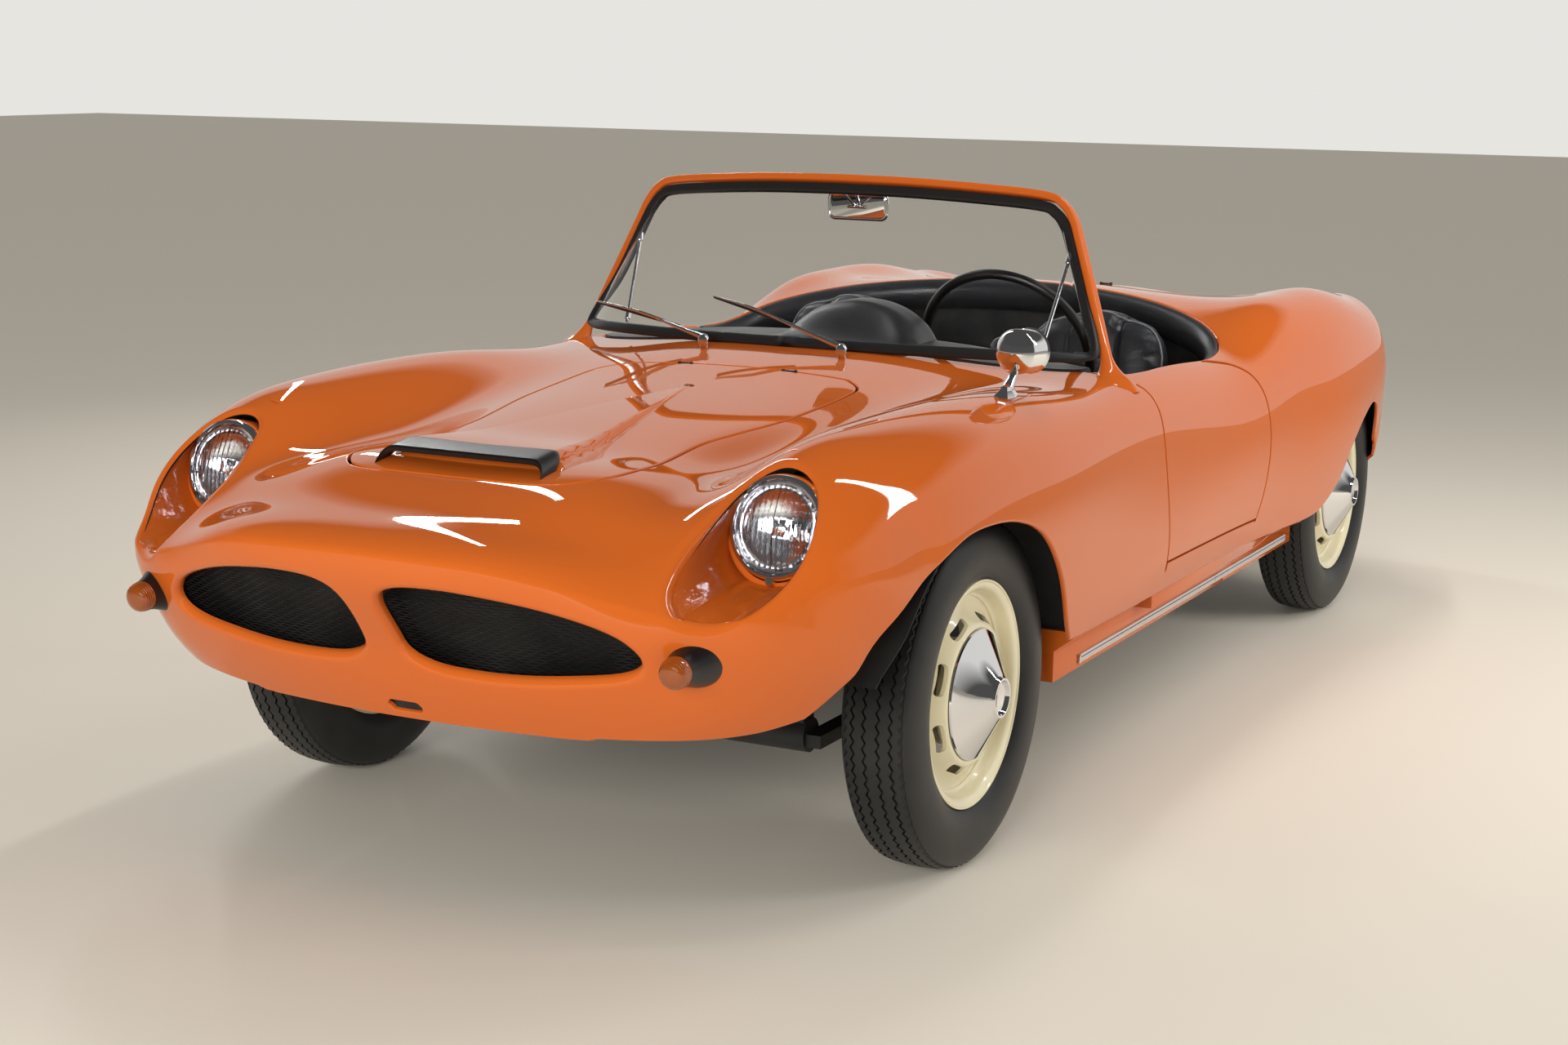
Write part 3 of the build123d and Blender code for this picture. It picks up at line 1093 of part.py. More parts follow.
# Wheels, drawn about their own axle with the outside towards +X
half_rim = RIM_WIDTH / 2
rim_well = RIM_SEAT_R - 20
RIM_OUTLINE = [(half_rim, FLANGE_R), (half_rim - 5, FLANGE_R), (half_rim - 7, RIM_SEAT_R), (32, RIM_SEAT_R - 2),
               (24, rim_well), (-24, rim_well), (-32, RIM_SEAT_R - 2), (-half_rim + 7, RIM_SEAT_R),
               (-half_rim + 5, FLANGE_R), (-half_rim, FLANGE_R)]
RIM_INNER = [(-half_rim, FLANGE_R - 5), (-half_rim + 4, RIM_SEAT_R - 5), (-32, RIM_SEAT_R - 6),
             (-24, rim_well - RIM_WALL), (24, rim_well - RIM_WALL), (32, RIM_SEAT_R - 6),
             (half_rim - 4, RIM_SEAT_R - 5), (half_rim, FLANGE_R - 5)]
DISC_OUTLINE = [(20, rim_well - 2), (24, rim_well - RIM_WALL), (38, 150), (36, 132), (26, 119),
                (26, SPINDLE_R + RUN_GAP), (-44, SPINDLE_R + RUN_GAP), (-44, 32), (-40, DRUM_R), (6, DRUM_R),
                (10, 60), (22, 60), (22, 121), (32, 134), (33, 148), (18, rim_well - 6)]
TYRE_OUTLINE = [(half_rim - 7.5, RIM_SEAT_R + 0.3), (half_rim - 6, FLANGE_R + 0.3), (half_rim + 4, FLANGE_R + 8),
                (TYRE_WIDTH / 2, 250), (TYRE_WIDTH / 2 - 1, 276), (TYRE_WIDTH / 2 - 9, 302),
                (TYRE_WIDTH / 2 - 20, 314), (TYRE_WIDTH / 2 - 45, TYRE_R - 1), (0, TYRE_R)]
CAP_OUTLINE = [(26, CAP_BASE_R), (32, CAP_BASE_R), (52, 86), (78, 58), (26 + CAP_LENGTH - 4, CAP_TIP_R + 3),
               (26 + CAP_LENGTH, CAP_TIP_R), (26 + CAP_LENGTH, CAP_TIP_R - 6), (26 + CAP_LENGTH - 8, CAP_TIP_R - 8),
               (26 + CAP_LENGTH - 8, 0), (26 + CAP_LENGTH - 12, 0), (26 + CAP_LENGTH - 12, CAP_TIP_R - 4),
               (78, 54), (52, 82), (30, CAP_BASE_R - 5), (26, CAP_BASE_R - 5)]


def turned(outline):
    """A ring turned about the X axis from its outline of distance outboard and radius."""
    with BuildPart(mode=Mode.PRIVATE) as ring:
        with BuildSketch(Plane.XZ):
            with BuildLine():
                Polyline(*outline, close=True)
            make_face()
        revolve(axis=Axis.X)
    return ring.part


with BuildPart(mode=Mode.PRIVATE) as rim_pattern:
    add(turned(RIM_OUTLINE + RIM_INNER))
    add(turned(DISC_OUTLINE))
    with BuildSketch(Plane.YZ.offset(12)):
        with PolarLocations(SLOT_CIRCLE_R, RIM_SLOTS):
            SlotOverall(46, 17, rotation=90)
    extrude(amount=40, mode=Mode.SUBTRACT)
tyre_pattern = turned(TYRE_OUTLINE + [(-x, r) for x, r in reversed(TYRE_OUTLINE[:-1])])
cap_pattern = turned(CAP_OUTLINE)

CORNERS = [("front_left", 1, FRONT_AXLE_Y), ("front_right", -1, FRONT_AXLE_Y), ("rear_left", 1, REAR_AXLE_Y),
           ("rear_right", -1, REAR_AXLE_Y)]
for corner, side, axle_y in CORNERS:
    spot = Location((side * TRACK / 2, axle_y, TYRE_R), (0, 0, 0 if side == 1 else 180))
    for piece, pattern in (("rim", rim_pattern.part), ("tyre", tyre_pattern), ("hub_cap", cap_pattern)):
        with BuildPart() as wheel_piece:
            with Locations(spot):
                add(pattern)
        wheel_piece.part.label = f"{piece}_{corner}"
        export_step(wheel_piece.part, f"parts/{piece}_{corner}.step")
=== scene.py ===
"""The looks of an open two-seat roadster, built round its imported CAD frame.

The car faces -Y, its left side is +X and the ground is Z = 0. Panels are made in millimetres measured behind the
front axle, and metre() puts them in the frame.
"""

import math

import bpy
import numpy as np
from mathutils import Matrix, Vector
from mathutils.bvhtree import BVHTree


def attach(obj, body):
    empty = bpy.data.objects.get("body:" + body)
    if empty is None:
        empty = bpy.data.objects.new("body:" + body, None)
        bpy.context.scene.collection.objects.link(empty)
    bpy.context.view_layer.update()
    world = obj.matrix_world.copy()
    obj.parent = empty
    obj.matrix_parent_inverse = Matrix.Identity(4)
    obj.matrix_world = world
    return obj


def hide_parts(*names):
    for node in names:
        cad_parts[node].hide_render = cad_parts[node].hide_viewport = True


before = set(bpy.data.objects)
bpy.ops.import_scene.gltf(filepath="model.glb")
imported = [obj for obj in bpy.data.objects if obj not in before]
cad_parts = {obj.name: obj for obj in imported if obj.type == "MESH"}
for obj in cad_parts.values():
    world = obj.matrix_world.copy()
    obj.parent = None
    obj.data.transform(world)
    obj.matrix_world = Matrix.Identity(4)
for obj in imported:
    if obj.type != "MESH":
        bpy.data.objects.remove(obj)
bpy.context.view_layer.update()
bpy.ops.object.select_all(action="DESELECT")

# Layout, in millimetres
FRONT_AXLE_Y = -1142.2
WHEELBASE = 2400
TRACK = 1305
WHEEL_R = 320
FAN_Y = {"nose": -250, "tail": 220}
FAN_Z = 330
WALL = 8
AXLE_Y = {"front": 0, "rear": WHEELBASE}

# Skin sections: axle, kind, place, then the left half from the foot to the middle as distance out and height.
# A nose or tail section fans round its axis, and its height is measured from there.
SKIN = [
    ("front", "nose", 87, (650, 60), (648, 130), (632, 222), (588, 315), (505, 390), (400, 435), (280, 460),
     (140, 478), (0, 483)),
    ("front", "nose", 79, (664, 60), (662, 140), (652, 250), (610, 356), (535, 440), (420, 485), (295, 515),
     (150, 532), (0, 536)),
    ("front", "nose", 72, (676, 60), (680, 150), (672, 272), (632, 388), (558, 482), (440, 542), (300, 576),
     (150, 596), (0, 600)),
    ("front", "nose", 66, (684, 60), (692, 160), (690, 288), (655, 408), (585, 508), (455, 590), (300, 652),
     (150, 690), (0, 700)),
    ("front", "nose", 61, (690, 60), (703, 165), (705, 298), (668, 425), (602, 518), (465, 588), (300, 680),
     (150, 718), (0, 726)),
    ("front", "nose", 54, (696, 60), (712, 170), (715, 305), (676, 434), (604, 518), (470, 556), (330, 604),
     (180, 640), (0, 646)),
    ("front", "nose", 45, (704, 60), (726, 170), (728, 320), (690, 445), (598, 518), (482, 522), (370, 540),
     (230, 570), (0, 576)),
    ("front", "nose", 33, (716, 60), (742, 170), (745, 320), (698, 445), (590, 512), (480, 494), (380, 476),
     (240, 509), (0, 511)),
    ("front", "nose", 16, (726, 60), (752, 170), (755, 310), (700, 440), (585, 502), (480, 471), (380, 424),
     (240, 442), (0, 450)),
    ("front", "across", -250, (735, 390), (762, 480), (772, 620), (715, 770), (585, 828), (480, 795), (385, 742),
     (240, 758), (0, 770)),
    ("front", "across", 0, (742, 330), (772, 460), (782, 620), (730, 775), (600, 833), (500, 808), (400, 765),
     (250, 778), (0, 790)),
    ("front", "across", 300, (738, 305), (768, 430), (780, 610), (735, 760), (620, 822), (520, 808), (410, 790),
     (250, 802), (0, 812)),
    ("front", "across", 600, (735, 305), (764, 420), (766, 600), (730, 745), (640, 795), (530, 802), (400, 812),
     (220, 832), (0, 838)),
    ("front", "across", 900, (730, 305), (759, 420), (755, 590), (725, 730), (655, 790), (560, 805), (420, 822),
     (220, 838), (0, 842)),
    ("rear", "across", -1100, (724, 305), (750, 420), (752, 580), (718, 712), (650, 778), (560, 795), (400, 815),
     (200, 835), (0, 842)),
    ("rear", "across", -800, (725, 305), (750, 420), (758, 580), (722, 712), (652, 772), (560, 800), (400, 828),
     (200, 850), (0, 858)),
    ("rear", "across", -520, (738, 305), (764, 440), (766, 610), (725, 765), (642, 842), (540, 848), (380, 858),
     (180, 872), (0, 877)),
    ("rear", "across", -300, (752, 310), (780, 470), (778, 640), (728, 795), (636, 857), (530, 848), (370, 842),
     (180, 855), (0, 860)),
    ("rear", "across", -50, (755, 330), (784, 500), (780, 660), (726, 800), (630, 852), (530, 838), (370, 818),
     (180, 828), (0, 832)),
    ("rear", "across", 220, (742, 390), (760, 500), (768, 645), (716, 770), (624, 815), (520, 800), (350, 778),
     (170, 778), (0, 780)),
    ("rear", "tail", 16, (747, 60), (752, 160), (750, 305), (703, 432), (614, 485), (500, 474), (340, 462),
     (160, 458), (0, 458)),
    ("rear", "tail", 35, (744, 60), (744, 140), (725, 280), (675, 398), (592, 460), (480, 474), (330, 478),
     (160, 483), (0, 485)),
    ("rear", "tail", 55, (728, 60), (716, 130), (690, 250), (640, 360), (560, 432), (450, 475), (310, 500),
     (150, 514), (0, 518)),
    ("rear", "tail", 75, (700, 60), (675, 115), (655, 225), (600, 330), (525, 400), (420, 450), (290, 482),
     (150, 503), (0, 510)),
    ("rear", "tail", 92, (620, 60), (620, 110), (610, 200), (565, 290), (490, 360), (400, 410), (290, 440),
     (150, 455), (0, 460)),
]

# The skin: a smooth surface through the sections


def spline_weights(knots, at):
    """How much each knot of a natural cubic spline counts at each of the places."""
    knots, at = np.asarray(knots, float), np.asarray(at, float)
    n = len(knots)
    step = np.diff(knots)
    left, right = np.zeros((n, n)), np.zeros((n, n))
    left[0, 0] = left[-1, -1] = 1
    for i in range(1, n - 1):
        left[i, i - 1:i + 2] = step[i - 1], 2 * (step[i - 1] + step[i]), step[i]
        right[i, i - 1:i + 2] = 6 / step[i - 1], -6 / step[i - 1] - 6 / step[i], 6 / step[i]
    bend = np.linalg.solve(left, right)
    i = np.clip(np.searchsorted(knots, at, side="right") - 1, 0, n - 2)
    h = step[i]
    b = (at - knots[i]) / h
    a = 1 - b
    weights = ((a ** 3 - a) * h ** 2 / 6)[:, None] * bend[i] + ((b ** 3 - b) * h ** 2 / 6)[:, None] * bend[i + 1]
    rows = np.arange(len(at))
    weights[rows, i] += a
    weights[rows, i + 1] += b
    return weights


def section_points():
    """The sections as rows of 17 points, from the left foot over the middle to the right foot."""
    lines = []
    for axle, kind, at, *points in SKIN:
        line = []
        for x, h in points:
            if kind == "across":
                line.append((x, AXLE_Y[axle] + at, h))
            else:
                side = -1 if kind == "nose" else 1
                turn = math.radians(at)
                line.append((x, AXLE_Y[axle] + FAN_Y[kind] + side * h * math.sin(turn), FAN_Z + h * math.cos(turn)))
        lines.append(line + [(-x, y, z) for x, y, z in reversed(line[:-1])])
    return np.array(lines, float)


POINTS = section_points()


def root_chord(axis):
    """Spline knots along an axis of the section points, spaced by the root of the mean chord."""
    chords = np.linalg.norm(np.diff(POINTS, axis=axis), axis=2) ** 0.5
    return np.concatenate([[0], np.cumsum(chords.mean(1 - axis))])


ACROSS, ALONG = root_chord(1), root_chord(0)

# The raised triangle behind the scoop: its front, its apex, and the widths of its top and its foot at the front
RISE = 26
RISE_FRONT = -516
RISE_APEX = 206
RISE_TOP = 144
RISE_FOOT = 170


def rise(x, y):
    """Height of the raised triangle on the bonnet over a point in plan."""
    t = np.clip((RISE_APEX - y) / (RISE_APEX - RISE_FRONT), 0, 1)
    side = np.clip((RISE_FOOT * t - np.abs(x)) / ((RISE_FOOT - RISE_TOP) * t + 1e-6), 0, 1)
    side = side * side * (3 - 2 * side)
    front = np.clip((y - RISE_FRONT + 22) / 22, 0, 1)
    return RISE * t * side * front


# The crest across the nose: distance out, and its angle from upright about the nose's axis
CREST = [(0, 62.4), (332, 62.4), (440, 62.6), (500, 63.0), (577, 61.5), (618, 60.2), (664, 57.0), (800, 54.0)]
CREST_HEIGHT, CREST_WIDTH, CREST_TIP = 8, 26, 2.5


def crest(points):
    """Moves points of the nose out of its axis, so that its crest is drawn up to an edge."""
    out, up = -(points[:, 1] - FAN_Y["nose"]), points[:, 2] - FAN_Z
    radius = np.maximum(np.hypot(out, up), 1)
    angle = np.degrees(np.arctan2(out, up))
    x = np.abs(points[:, 0])
    gap = np.radians(angle - np.interp(x, *zip(*CREST))) * radius
    fade = np.clip((720 - x) / 110, 0, 1) * (out > 0)
    lift = CREST_HEIGHT * np.exp(-(np.hypot(gap, CREST_TIP) - CREST_TIP) / CREST_WIDTH) * fade
    points[:, 1] -= lift * out / radius
    points[:, 2] += lift * up / radius
    return points


def surface(uv):
    """Points of the skin at places across (u) and along (v)."""
    across, along = spline_weights(ACROSS, uv[:, 0]), spline_weights(ALONG, uv[:, 1])
    rows = np.einsum("sr,rkc->skc", along, POINTS, optimize=True)
    points = np.einsum("sk,skc->sc", across, rows)
    points[:, 2] += rise(points[:, 0], points[:, 1])
    return crest(points)


def outward(uv):
    """Unit normals of the skin, pointing out of the car."""
    e = 2e-3
    du = surface(uv + [e, 0]) - surface(uv - [e, 0])
    dv = surface(uv + [0, e]) - surface(uv - [0, e])
    n = np.cross(dv, du)
    return n / np.linalg.norm(n, axis=1)[:, None]


def unit(a):
    """Vectors scaled to length one."""
    return a / np.maximum(np.linalg.norm(a, axis=-1), 1e-9)[..., None]


def whole_sheet(cell=12, fine=7):
    """The whole skin as triangles over a grid of places, finer round the nose."""
    u, v = [], []
    for i, chord in enumerate(np.linalg.norm(np.diff(POINTS, axis=1), axis=2).max(0)):
        u += list(np.linspace(ACROSS[i], ACROSS[i + 1], int(np.ceil(chord / cell)), endpoint=False))
    for i, chord in enumerate(np.linalg.norm(np.diff(POINTS, axis=0), axis=2).max(1)):
        size = fine if 1 <= i <= 5 else cell
        v += list(np.linspace(ALONG[i], ALONG[i + 1], int(np.ceil(chord / size)), endpoint=False))
    u, v = np.array(u + [ACROSS[-1]]), np.array(v + [ALONG[-1]])
    grid = np.stack(np.meshgrid(u, v, indexing="ij"), -1).reshape(-1, 2)
    i, j = np.meshgrid(np.arange(len(u) - 1), np.arange(len(v) - 1), indexing="ij")
    a = (i * len(v) + j).ravel()
    b, c, d = a + 1, a + len(v) + 1, a + len(v)
    tri = np.concatenate([np.stack([a, b, c], 1), np.stack([a, c, d], 1)])
    return {"uv": grid, "tri": tri, "held": np.zeros(len(grid), bool), "rounds": []}


def copied(sheet):
    """A sheet of its own with the same places and triangles."""
    return {k: (v.copy() if isinstance(v, np.ndarray) else list(v)) for k, v in sheet.items()}


def compact(sheet, tri):
    """Keeps these triangles and the places that they use."""
    used = np.unique(tri)
    index = np.full(len(sheet["uv"]), -1)
    index[used] = np.arange(len(used))
    sheet["uv"], sheet["held"], sheet["tri"] = sheet["uv"][used], sheet["held"][used], index[tri]


SNAP = 1.8


def split(sheet, field, level=0.0):
    """Cuts triangles so that their edges run where the field has the level."""
    uv, tri, held = sheet["uv"], sheet["tri"], sheet["held"]
    at = surface(uv)
    value = field(at) - level
    near = np.flatnonzero((np.abs(value) < SNAP) & ~held)
    if len(near):
        e = 2e-3
        q, base = uv[near], value[near]
        pu, pv = surface(q + [e, 0]), surface(q + [0, e])
        slope = np.stack([field(pu) - level - base, field(pv) - level - base], 1) / e
        scale = np.stack([np.linalg.norm(pu - at[near], axis=1), np.linalg.norm(pv - at[near], axis=1)], 1) / e
        steep = (slope ** 2 / scale ** 2).sum(1)
        good = steep > 0.04
        near, slope, scale, steep, base = near[good], slope[good], scale[good], steep[good], base[good]
        uv[near] -= (base / steep)[:, None] * slope / scale ** 2
        uv[:, 0] = np.clip(uv[:, 0], ACROSS[0], ACROSS[-1])
        uv[:, 1] = np.clip(uv[:, 1], ALONG[0], ALONG[-1])
        value[near] = field(surface(uv[near])) - level
        value[near[np.abs(value[near]) < 0.6]] = 0
    value[np.abs(value) < 0.02] = 0
    sign = np.sign(value).astype(int)
    held |= sign == 0
    signs = sign[tri]
    mixed = (signs.max(1) > 0) & (signs.min(1) < 0)
    cut = tri[mixed]
    if not len(cut):
        return sheet
    edges = cut[:, [0, 1, 1, 2, 2, 0]].reshape(-1, 3, 2)
    cross = sign[edges[..., 0]] * sign[edges[..., 1]] < 0
    pairs, back = np.unique(np.sort(edges[cross], axis=1), axis=0, return_inverse=True)
    a, b = pairs.T
    low, high, v_low, v_high = np.zeros(len(a)), np.ones(len(a)), value[a].copy(), value[b].copy()
    for _ in range(3):
        t = low + (high - low) * v_low / (v_low - v_high)
        q = uv[a] + t[:, None] * (uv[b] - uv[a])
        v = field(surface(q)) - level
        same = np.sign(v) == np.sign(v_low)
        low, v_low = np.where(same, t, low), np.where(same, v, v_low)
        high, v_high = np.where(same, high, t), np.where(same, v_high, v)
        v_high = np.where(np.abs(v_low - v_high) < 1e-9, v_low - 1e-9, v_high)
    new = np.full(cross.shape, -1)
    new[cross] = len(uv) + back.ravel()
    parts = [tri[~mixed]]
    for k in range(3):
        i, j = (k + 1) % 3, (k + 2) % 3
        m = cross[:, k] & cross[:, j]
        p, s = new[m, k], new[m, j]
        one, two, three = cut[m, k], cut[m, i], cut[m, j]
        parts += [np.stack(c, 1) for c in ((one, p, s), (p, two, three), (p, three, s))]
        m = cross[:, i] & ~cross[:, k] & ~cross[:, j]
        p, one, two, three = new[m, i], cut[m, k], cut[m, i], cut[m, j]
        parts += [np.stack(c, 1) for c in ((one, two, p), (one, p, three))]
    sheet["uv"] = np.concatenate([uv, q])
    sheet["held"] = np.concatenate([held, np.ones(len(q), bool)])
    sheet["tri"] = np.concatenate(parts)
    return sheet


def trim(sheet, field, level=0.0):
    """Cuts along a level of the field and keeps the side where the field is greater."""
    split(sheet, field, level)
    tri = sheet["tri"]
    middle = sheet["uv"][tri].mean(1)
    compact(sheet, tri[field(surface(middle)) > level])
    return sheet


def rounded(sheet, field, radius):
    """Rounds the edge that lies where the field is zero, by a radius or by one that a function gives."""
    size = radius if callable(radius) else lambda at: np.full(len(at), float(radius))
    for share in (1, 0.7, 0.42, 0.2, 0.06):
        split(sheet, lambda at, share=share: field(at) - share * size(at))
    sheet["rounds"].append((field, size))
    return sheet


def edge_of(sheet, field, radius):
    """Trims along a field and rounds the edge that this makes."""
    trim(sheet, field)
    return rounded(sheet, field, radius)


def shaped(sheet):
    """Places, normals and depth of the outer face with its rounded edges, and the plain skin's."""
    at, n = surface(sheet["uv"]), outward(sheet["uv"])
    depth, lean = np.zeros(len(at)), np.zeros((len(at), 3))
    for field, sized in sheet["rounds"]:
        value, radius = field(at), sized(at)
        near = np.flatnonzero(value < radius * 1.3)
        radius = radius[near]
        q, m = at[near], n[near]
        first = unit(np.cross(m, np.where(np.abs(m[:, 2:]) > 0.8, [[0.0, 1, 0]], [[0.0, 0, 1]])))
        second = np.cross(m, first)
        h = 0.6
        slope = ((field(q + first * h) - field(q - first * h)) / (2 * h))[:, None] * first \
            + ((field(q + second * h) - field(q - second * h)) / (2 * h))[:, None] * second
        size = np.maximum(np.linalg.norm(slope, axis=1), 0.3)
        x = np.clip(radius - value[near] / size, 0, radius)
        depth[near] += radius - np.sqrt(radius ** 2 - np.minimum(x, radius * 0.999) ** 2)
        lean[near] -= (x / radius)[:, None] * slope / size[:, None]
    length = np.linalg.norm(lean, axis=1)
    lean /= np.maximum(length, 1)[:, None]
    turned = unit(n * np.sqrt(np.maximum(1 - np.minimum(length, 1) ** 2, 0))[:, None] + lean)
    return at, n, at - n * depth[:, None], turned, depth


def metre(points):
    """Points in millimetres behind the front axle, put in the frame in metres."""
    return (np.asarray(points, float) + [0, FRONT_AXLE_Y, 0]) / 1000


def mesh_piece(name, points, faces, materials, body, nodes=(), slots=None, normals=None, smooth=True):
    """A new piece from points in the frame's metres and its faces."""
    mesh = bpy.data.meshes.new(name)
    mesh.from_pydata([tuple(p) for p in points], [], [tuple(int(i) for i in f) for f in faces])
    for material in materials:
        mesh.materials.append(material)
    if slots is not None:
        mesh.polygons.foreach_set("material_index", np.asarray(slots, np.int32))
    mesh.polygons.foreach_set("use_smooth", np.full(len(mesh.polygons), smooth))
    if normals is not None:
        mesh.normals_split_custom_set([tuple(n) for n in normals])
    mesh.update()
    piece = bpy.data.objects.new(name, mesh)
    bpy.context.scene.collection.objects.link(piece)
    return carried(piece, body, nodes)


def carried(piece, body, nodes=()):
    """Puts a finished piece on its body, in place of its CAD nodes."""
    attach(piece, body)
    if nodes:
        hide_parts(*nodes)
    return piece


def panel(name, sheet, materials, body, nodes=(), wall=WALL, wells=None):
    """A panel with its wall from a trimmed sheet. wells gives another foot for the rim where it applies."""
    base, n, outer, turned, depth = shaped(sheet)
    inner = base - n * np.maximum(wall, depth + 3)[:, None]
    tri = sheet["tri"]
    count = len(outer)
    edges = tri[:, [0, 1, 1, 2, 2, 0]].reshape(-1, 2)
    key = np.sort(edges, axis=1)
    _, first, times = np.unique(key, axis=0, return_index=True, return_counts=True)
    rim = edges[first[times == 1]]
    points = np.concatenate([outer, inner])
    skip = np.zeros(len(rim), bool)
    extra_points, extra_faces = [], []
    if wells:
        for test, foot in wells:
            on = test(base[rim[:, 0]]) & test(base[rim[:, 1]])
            skip |= on
            ends = foot(outer[rim[on]].reshape(-1, 3))
            start = len(points) + sum(len(p) for p in extra_points)
            extra_points.append(ends)
            for i, (a, b) in enumerate(rim[on]):
                extra_faces.append((b, a, start + 2 * i, start + 2 * i + 1))
    quads = np.stack([rim[:, 1], rim[:, 0], rim[:, 0] + count, rim[:, 1] + count], 1)[~skip]
    points = np.concatenate([points] + extra_points)
    faces = [tuple(f) for f in tri] + [tuple(f[::-1] + count) for f in tri] + [tuple(f) for f in quads] + extra_faces
    slots = [0] * len(tri) + [1] * len(tri) + [0] * (len(quads) + len(extra_faces))
    side = np.concatenate([quads] + ([np.array(extra_faces)] if extra_faces else []))
    flat = unit(np.cross(points[side[:, 2]] - points[side[:, 0]], points[side[:, 1]] - points[side[:, 3]]))
    flat = -flat
    normals = np.concatenate([turned[tri].reshape(-1, 3), (-n)[tri[:, ::-1]].reshape(-1, 3),
                              np.repeat(flat, 4, axis=0)])
    return mesh_piece(name, metre(points), faces, materials, body, nodes, slots, normals)


# Outlines of the openings, seen from above, from the side or from ahead


def eased(points, per=5):
    """A smooth line through the points, with more of them."""
    p = np.asarray(points, float)
    p = np.concatenate([[2 * p[0] - p[1]], p, [2 * p[-1] - p[-2]]])
    t = np.linspace(0, 1, per, endpoint=False)[:, None]
    line = []
    for a, b, c, d in zip(p, p[1:], p[2:], p[3:]):
        line.append(0.5 * (2 * b + (c - a) * t + (2 * a - 5 * b + 4 * c - d) * t ** 2
                           + (3 * b - 3 * c + d - a) * t ** 3))
    return np.concatenate(line + [p[-2:-1]])


def outline_distance(at, loop):
    """Signed distance of points in a plane to a closed outline, positive outside."""
    a, b = loop, np.roll(loop, -1, axis=0)
    d = b - a
    length = np.maximum((d * d).sum(1), 1e-9)
    out = np.empty(len(at))
    for i in range(0, len(at), 3000):
        p = at[i:i + 3000, None]
        t = np.clip(((p - a) * d).sum(2) / length, 0, 1)
        gap = ((p - a - t[..., None] * d) ** 2).sum(2).min(1) ** 0.5
        over = (a[:, 1] > p[..., 1]) != (b[:, 1] > p[..., 1])
        run = d[:, 1] + np.where(d[:, 1] == 0, 1e-9, 0)
        inside = (over & (p[..., 0] < d[:, 0] * (p[..., 1] - a[:, 1]) / run + a[:, 0])).sum(1) % 2 == 1
        out[i:i + 3000] = np.where(inside, -gap, gap)
    return out


def opening(points, plane, mirrored=True, where=None):
    """A field that is positive outside a closed outline, drawn in the plane of two of the axes."""
    loop = np.asarray(points, float)
    low, high = loop.min(0) - 60, loop.max(0) + 60

    def field(at):
        p = at[:, plane]
        if mirrored:
            p = np.stack([np.abs(p[:, 0]), p[:, 1]], 1)
        value = np.maximum(np.maximum(low - p, p - high).max(1), 0) + 60
        near = (value <= 60) if where is None else (value <= 60) & where(at)
        value[near] = outline_distance(p[near], loop)
        return value

    return field


def closed_half(points):
    """A half outline in plan, carried past the middle and closed there."""
    line = eased(points)
    return np.concatenate([[[-80, line[0, 1]]], line, [[-80, line[-1, 1]]]])


COCKPIT = [(0, 640), (60, 642), (200, 655), (400, 712), (520, 772), (592, 842), (640, 900), (652, 1000), (652, 1100),
           (651, 1350), (645, 1500), (632, 1592), (602, 1652), (532, 1724), (402, 1802), (202, 1872), (0, 1890)]
BONNET = [(0, -613), (110, -614), (172, -610), (212, -596), (240, -564), (258, -524), (264, -480), (258, -380),
          (246, -250), (246, -170), (262, -80), (288, 53),
          (298, 200), (300, 300), (292, 350), (262, 382), (225, 393), (0, 396)]
LID = [(0, 2165), (225, 2165), (282, 2170), (316, 2195), (330, 2260), (336, 2400), (333, 2600), (324, 2750),
       (300, 2832), (240, 2864), (90, 2872), (0, 2872)]
GRILLE = [(38, 500), (36, 531), (36, 560), (40, 580), (50, 596), (72, 607), (110, 613), (170, 613), (230, 607),
          (290, 598), (345, 586), (400, 569), (438, 550), (459, 528), (464, 510), (456, 496), (436, 485),
          (400, 476), (340, 468), (270, 461), (200, 458), (130, 460), (90, 465), (60, 475), (44, 487)]
FRONT_SEAM = [(907, 385), (903, 430), (899, 475), (893, 530), (890, 590), (890, 640), (894, 680), (899, 715),
              (899, 745), (892, 766), (876, 781), (852, 789)]
REAR_SEAM = [(1386, 767), (1400, 766), (1440, 760), (1480, 754), (1525, 745), (1565, 728), (1590, 706), (1606, 677),
             (1614, 640), (1616, 590), (1612, 523), (1600, 450), (1580, 385)]
DOOR_FOOT = ((907, 404), (1580, 382))
FRONT_ARCH = [(-505, 450), (-447, 523), (-345, 594), (-220, 644), (-109, 653), (17, 639), (129, 598), (226, 513),
              (313, 399), (364, 346)]
REAR_ARCH = [(1960, 311), (2040, 313), (2110, 325), (2210, 376), (2274, 452), (2330, 497), (2380, 523), (2430, 541),
             (2474, 548), (2520, 543), (2560, 528), (2615, 473), (2648, 400), (2665, 300)]
TOW_SLOT = (66, 20, 378)

cockpit = opening(closed_half(COCKPIT), [0, 1])
bonnet_shape = opening(closed_half(BONNET), [0, 1])
lid_shape = opening(closed_half(LID), [0, 1])
grille_shape = opening(eased(GRILLE + GRILLE[:1])[:-1], [0, 2], where=lambda at: at[:, 1] < -500)
underside = opening(
    np.concatenate([[(-700, 100), (-700, 358), (-602, 378), (-545, 395)], eased(FRONT_ARCH),
                    [(824, 336), (1402, 325)], eased(REAR_ARCH), [(2670, 100)]]), [1, 2], mirrored=False)
door_line = np.concatenate([eased(FRONT_SEAM), [(835, 800), (835, 1000), (1372, 1000)], eased(REAR_SEAM),
                            [DOOR_FOOT[1], DOOR_FOOT[0]]])
keep = (door_line[:, 1] >= 382)
door_shape = opening(door_line[keep], [1, 2], mirrored=False, where=lambda at: np.abs(at[:, 0]) > 400)

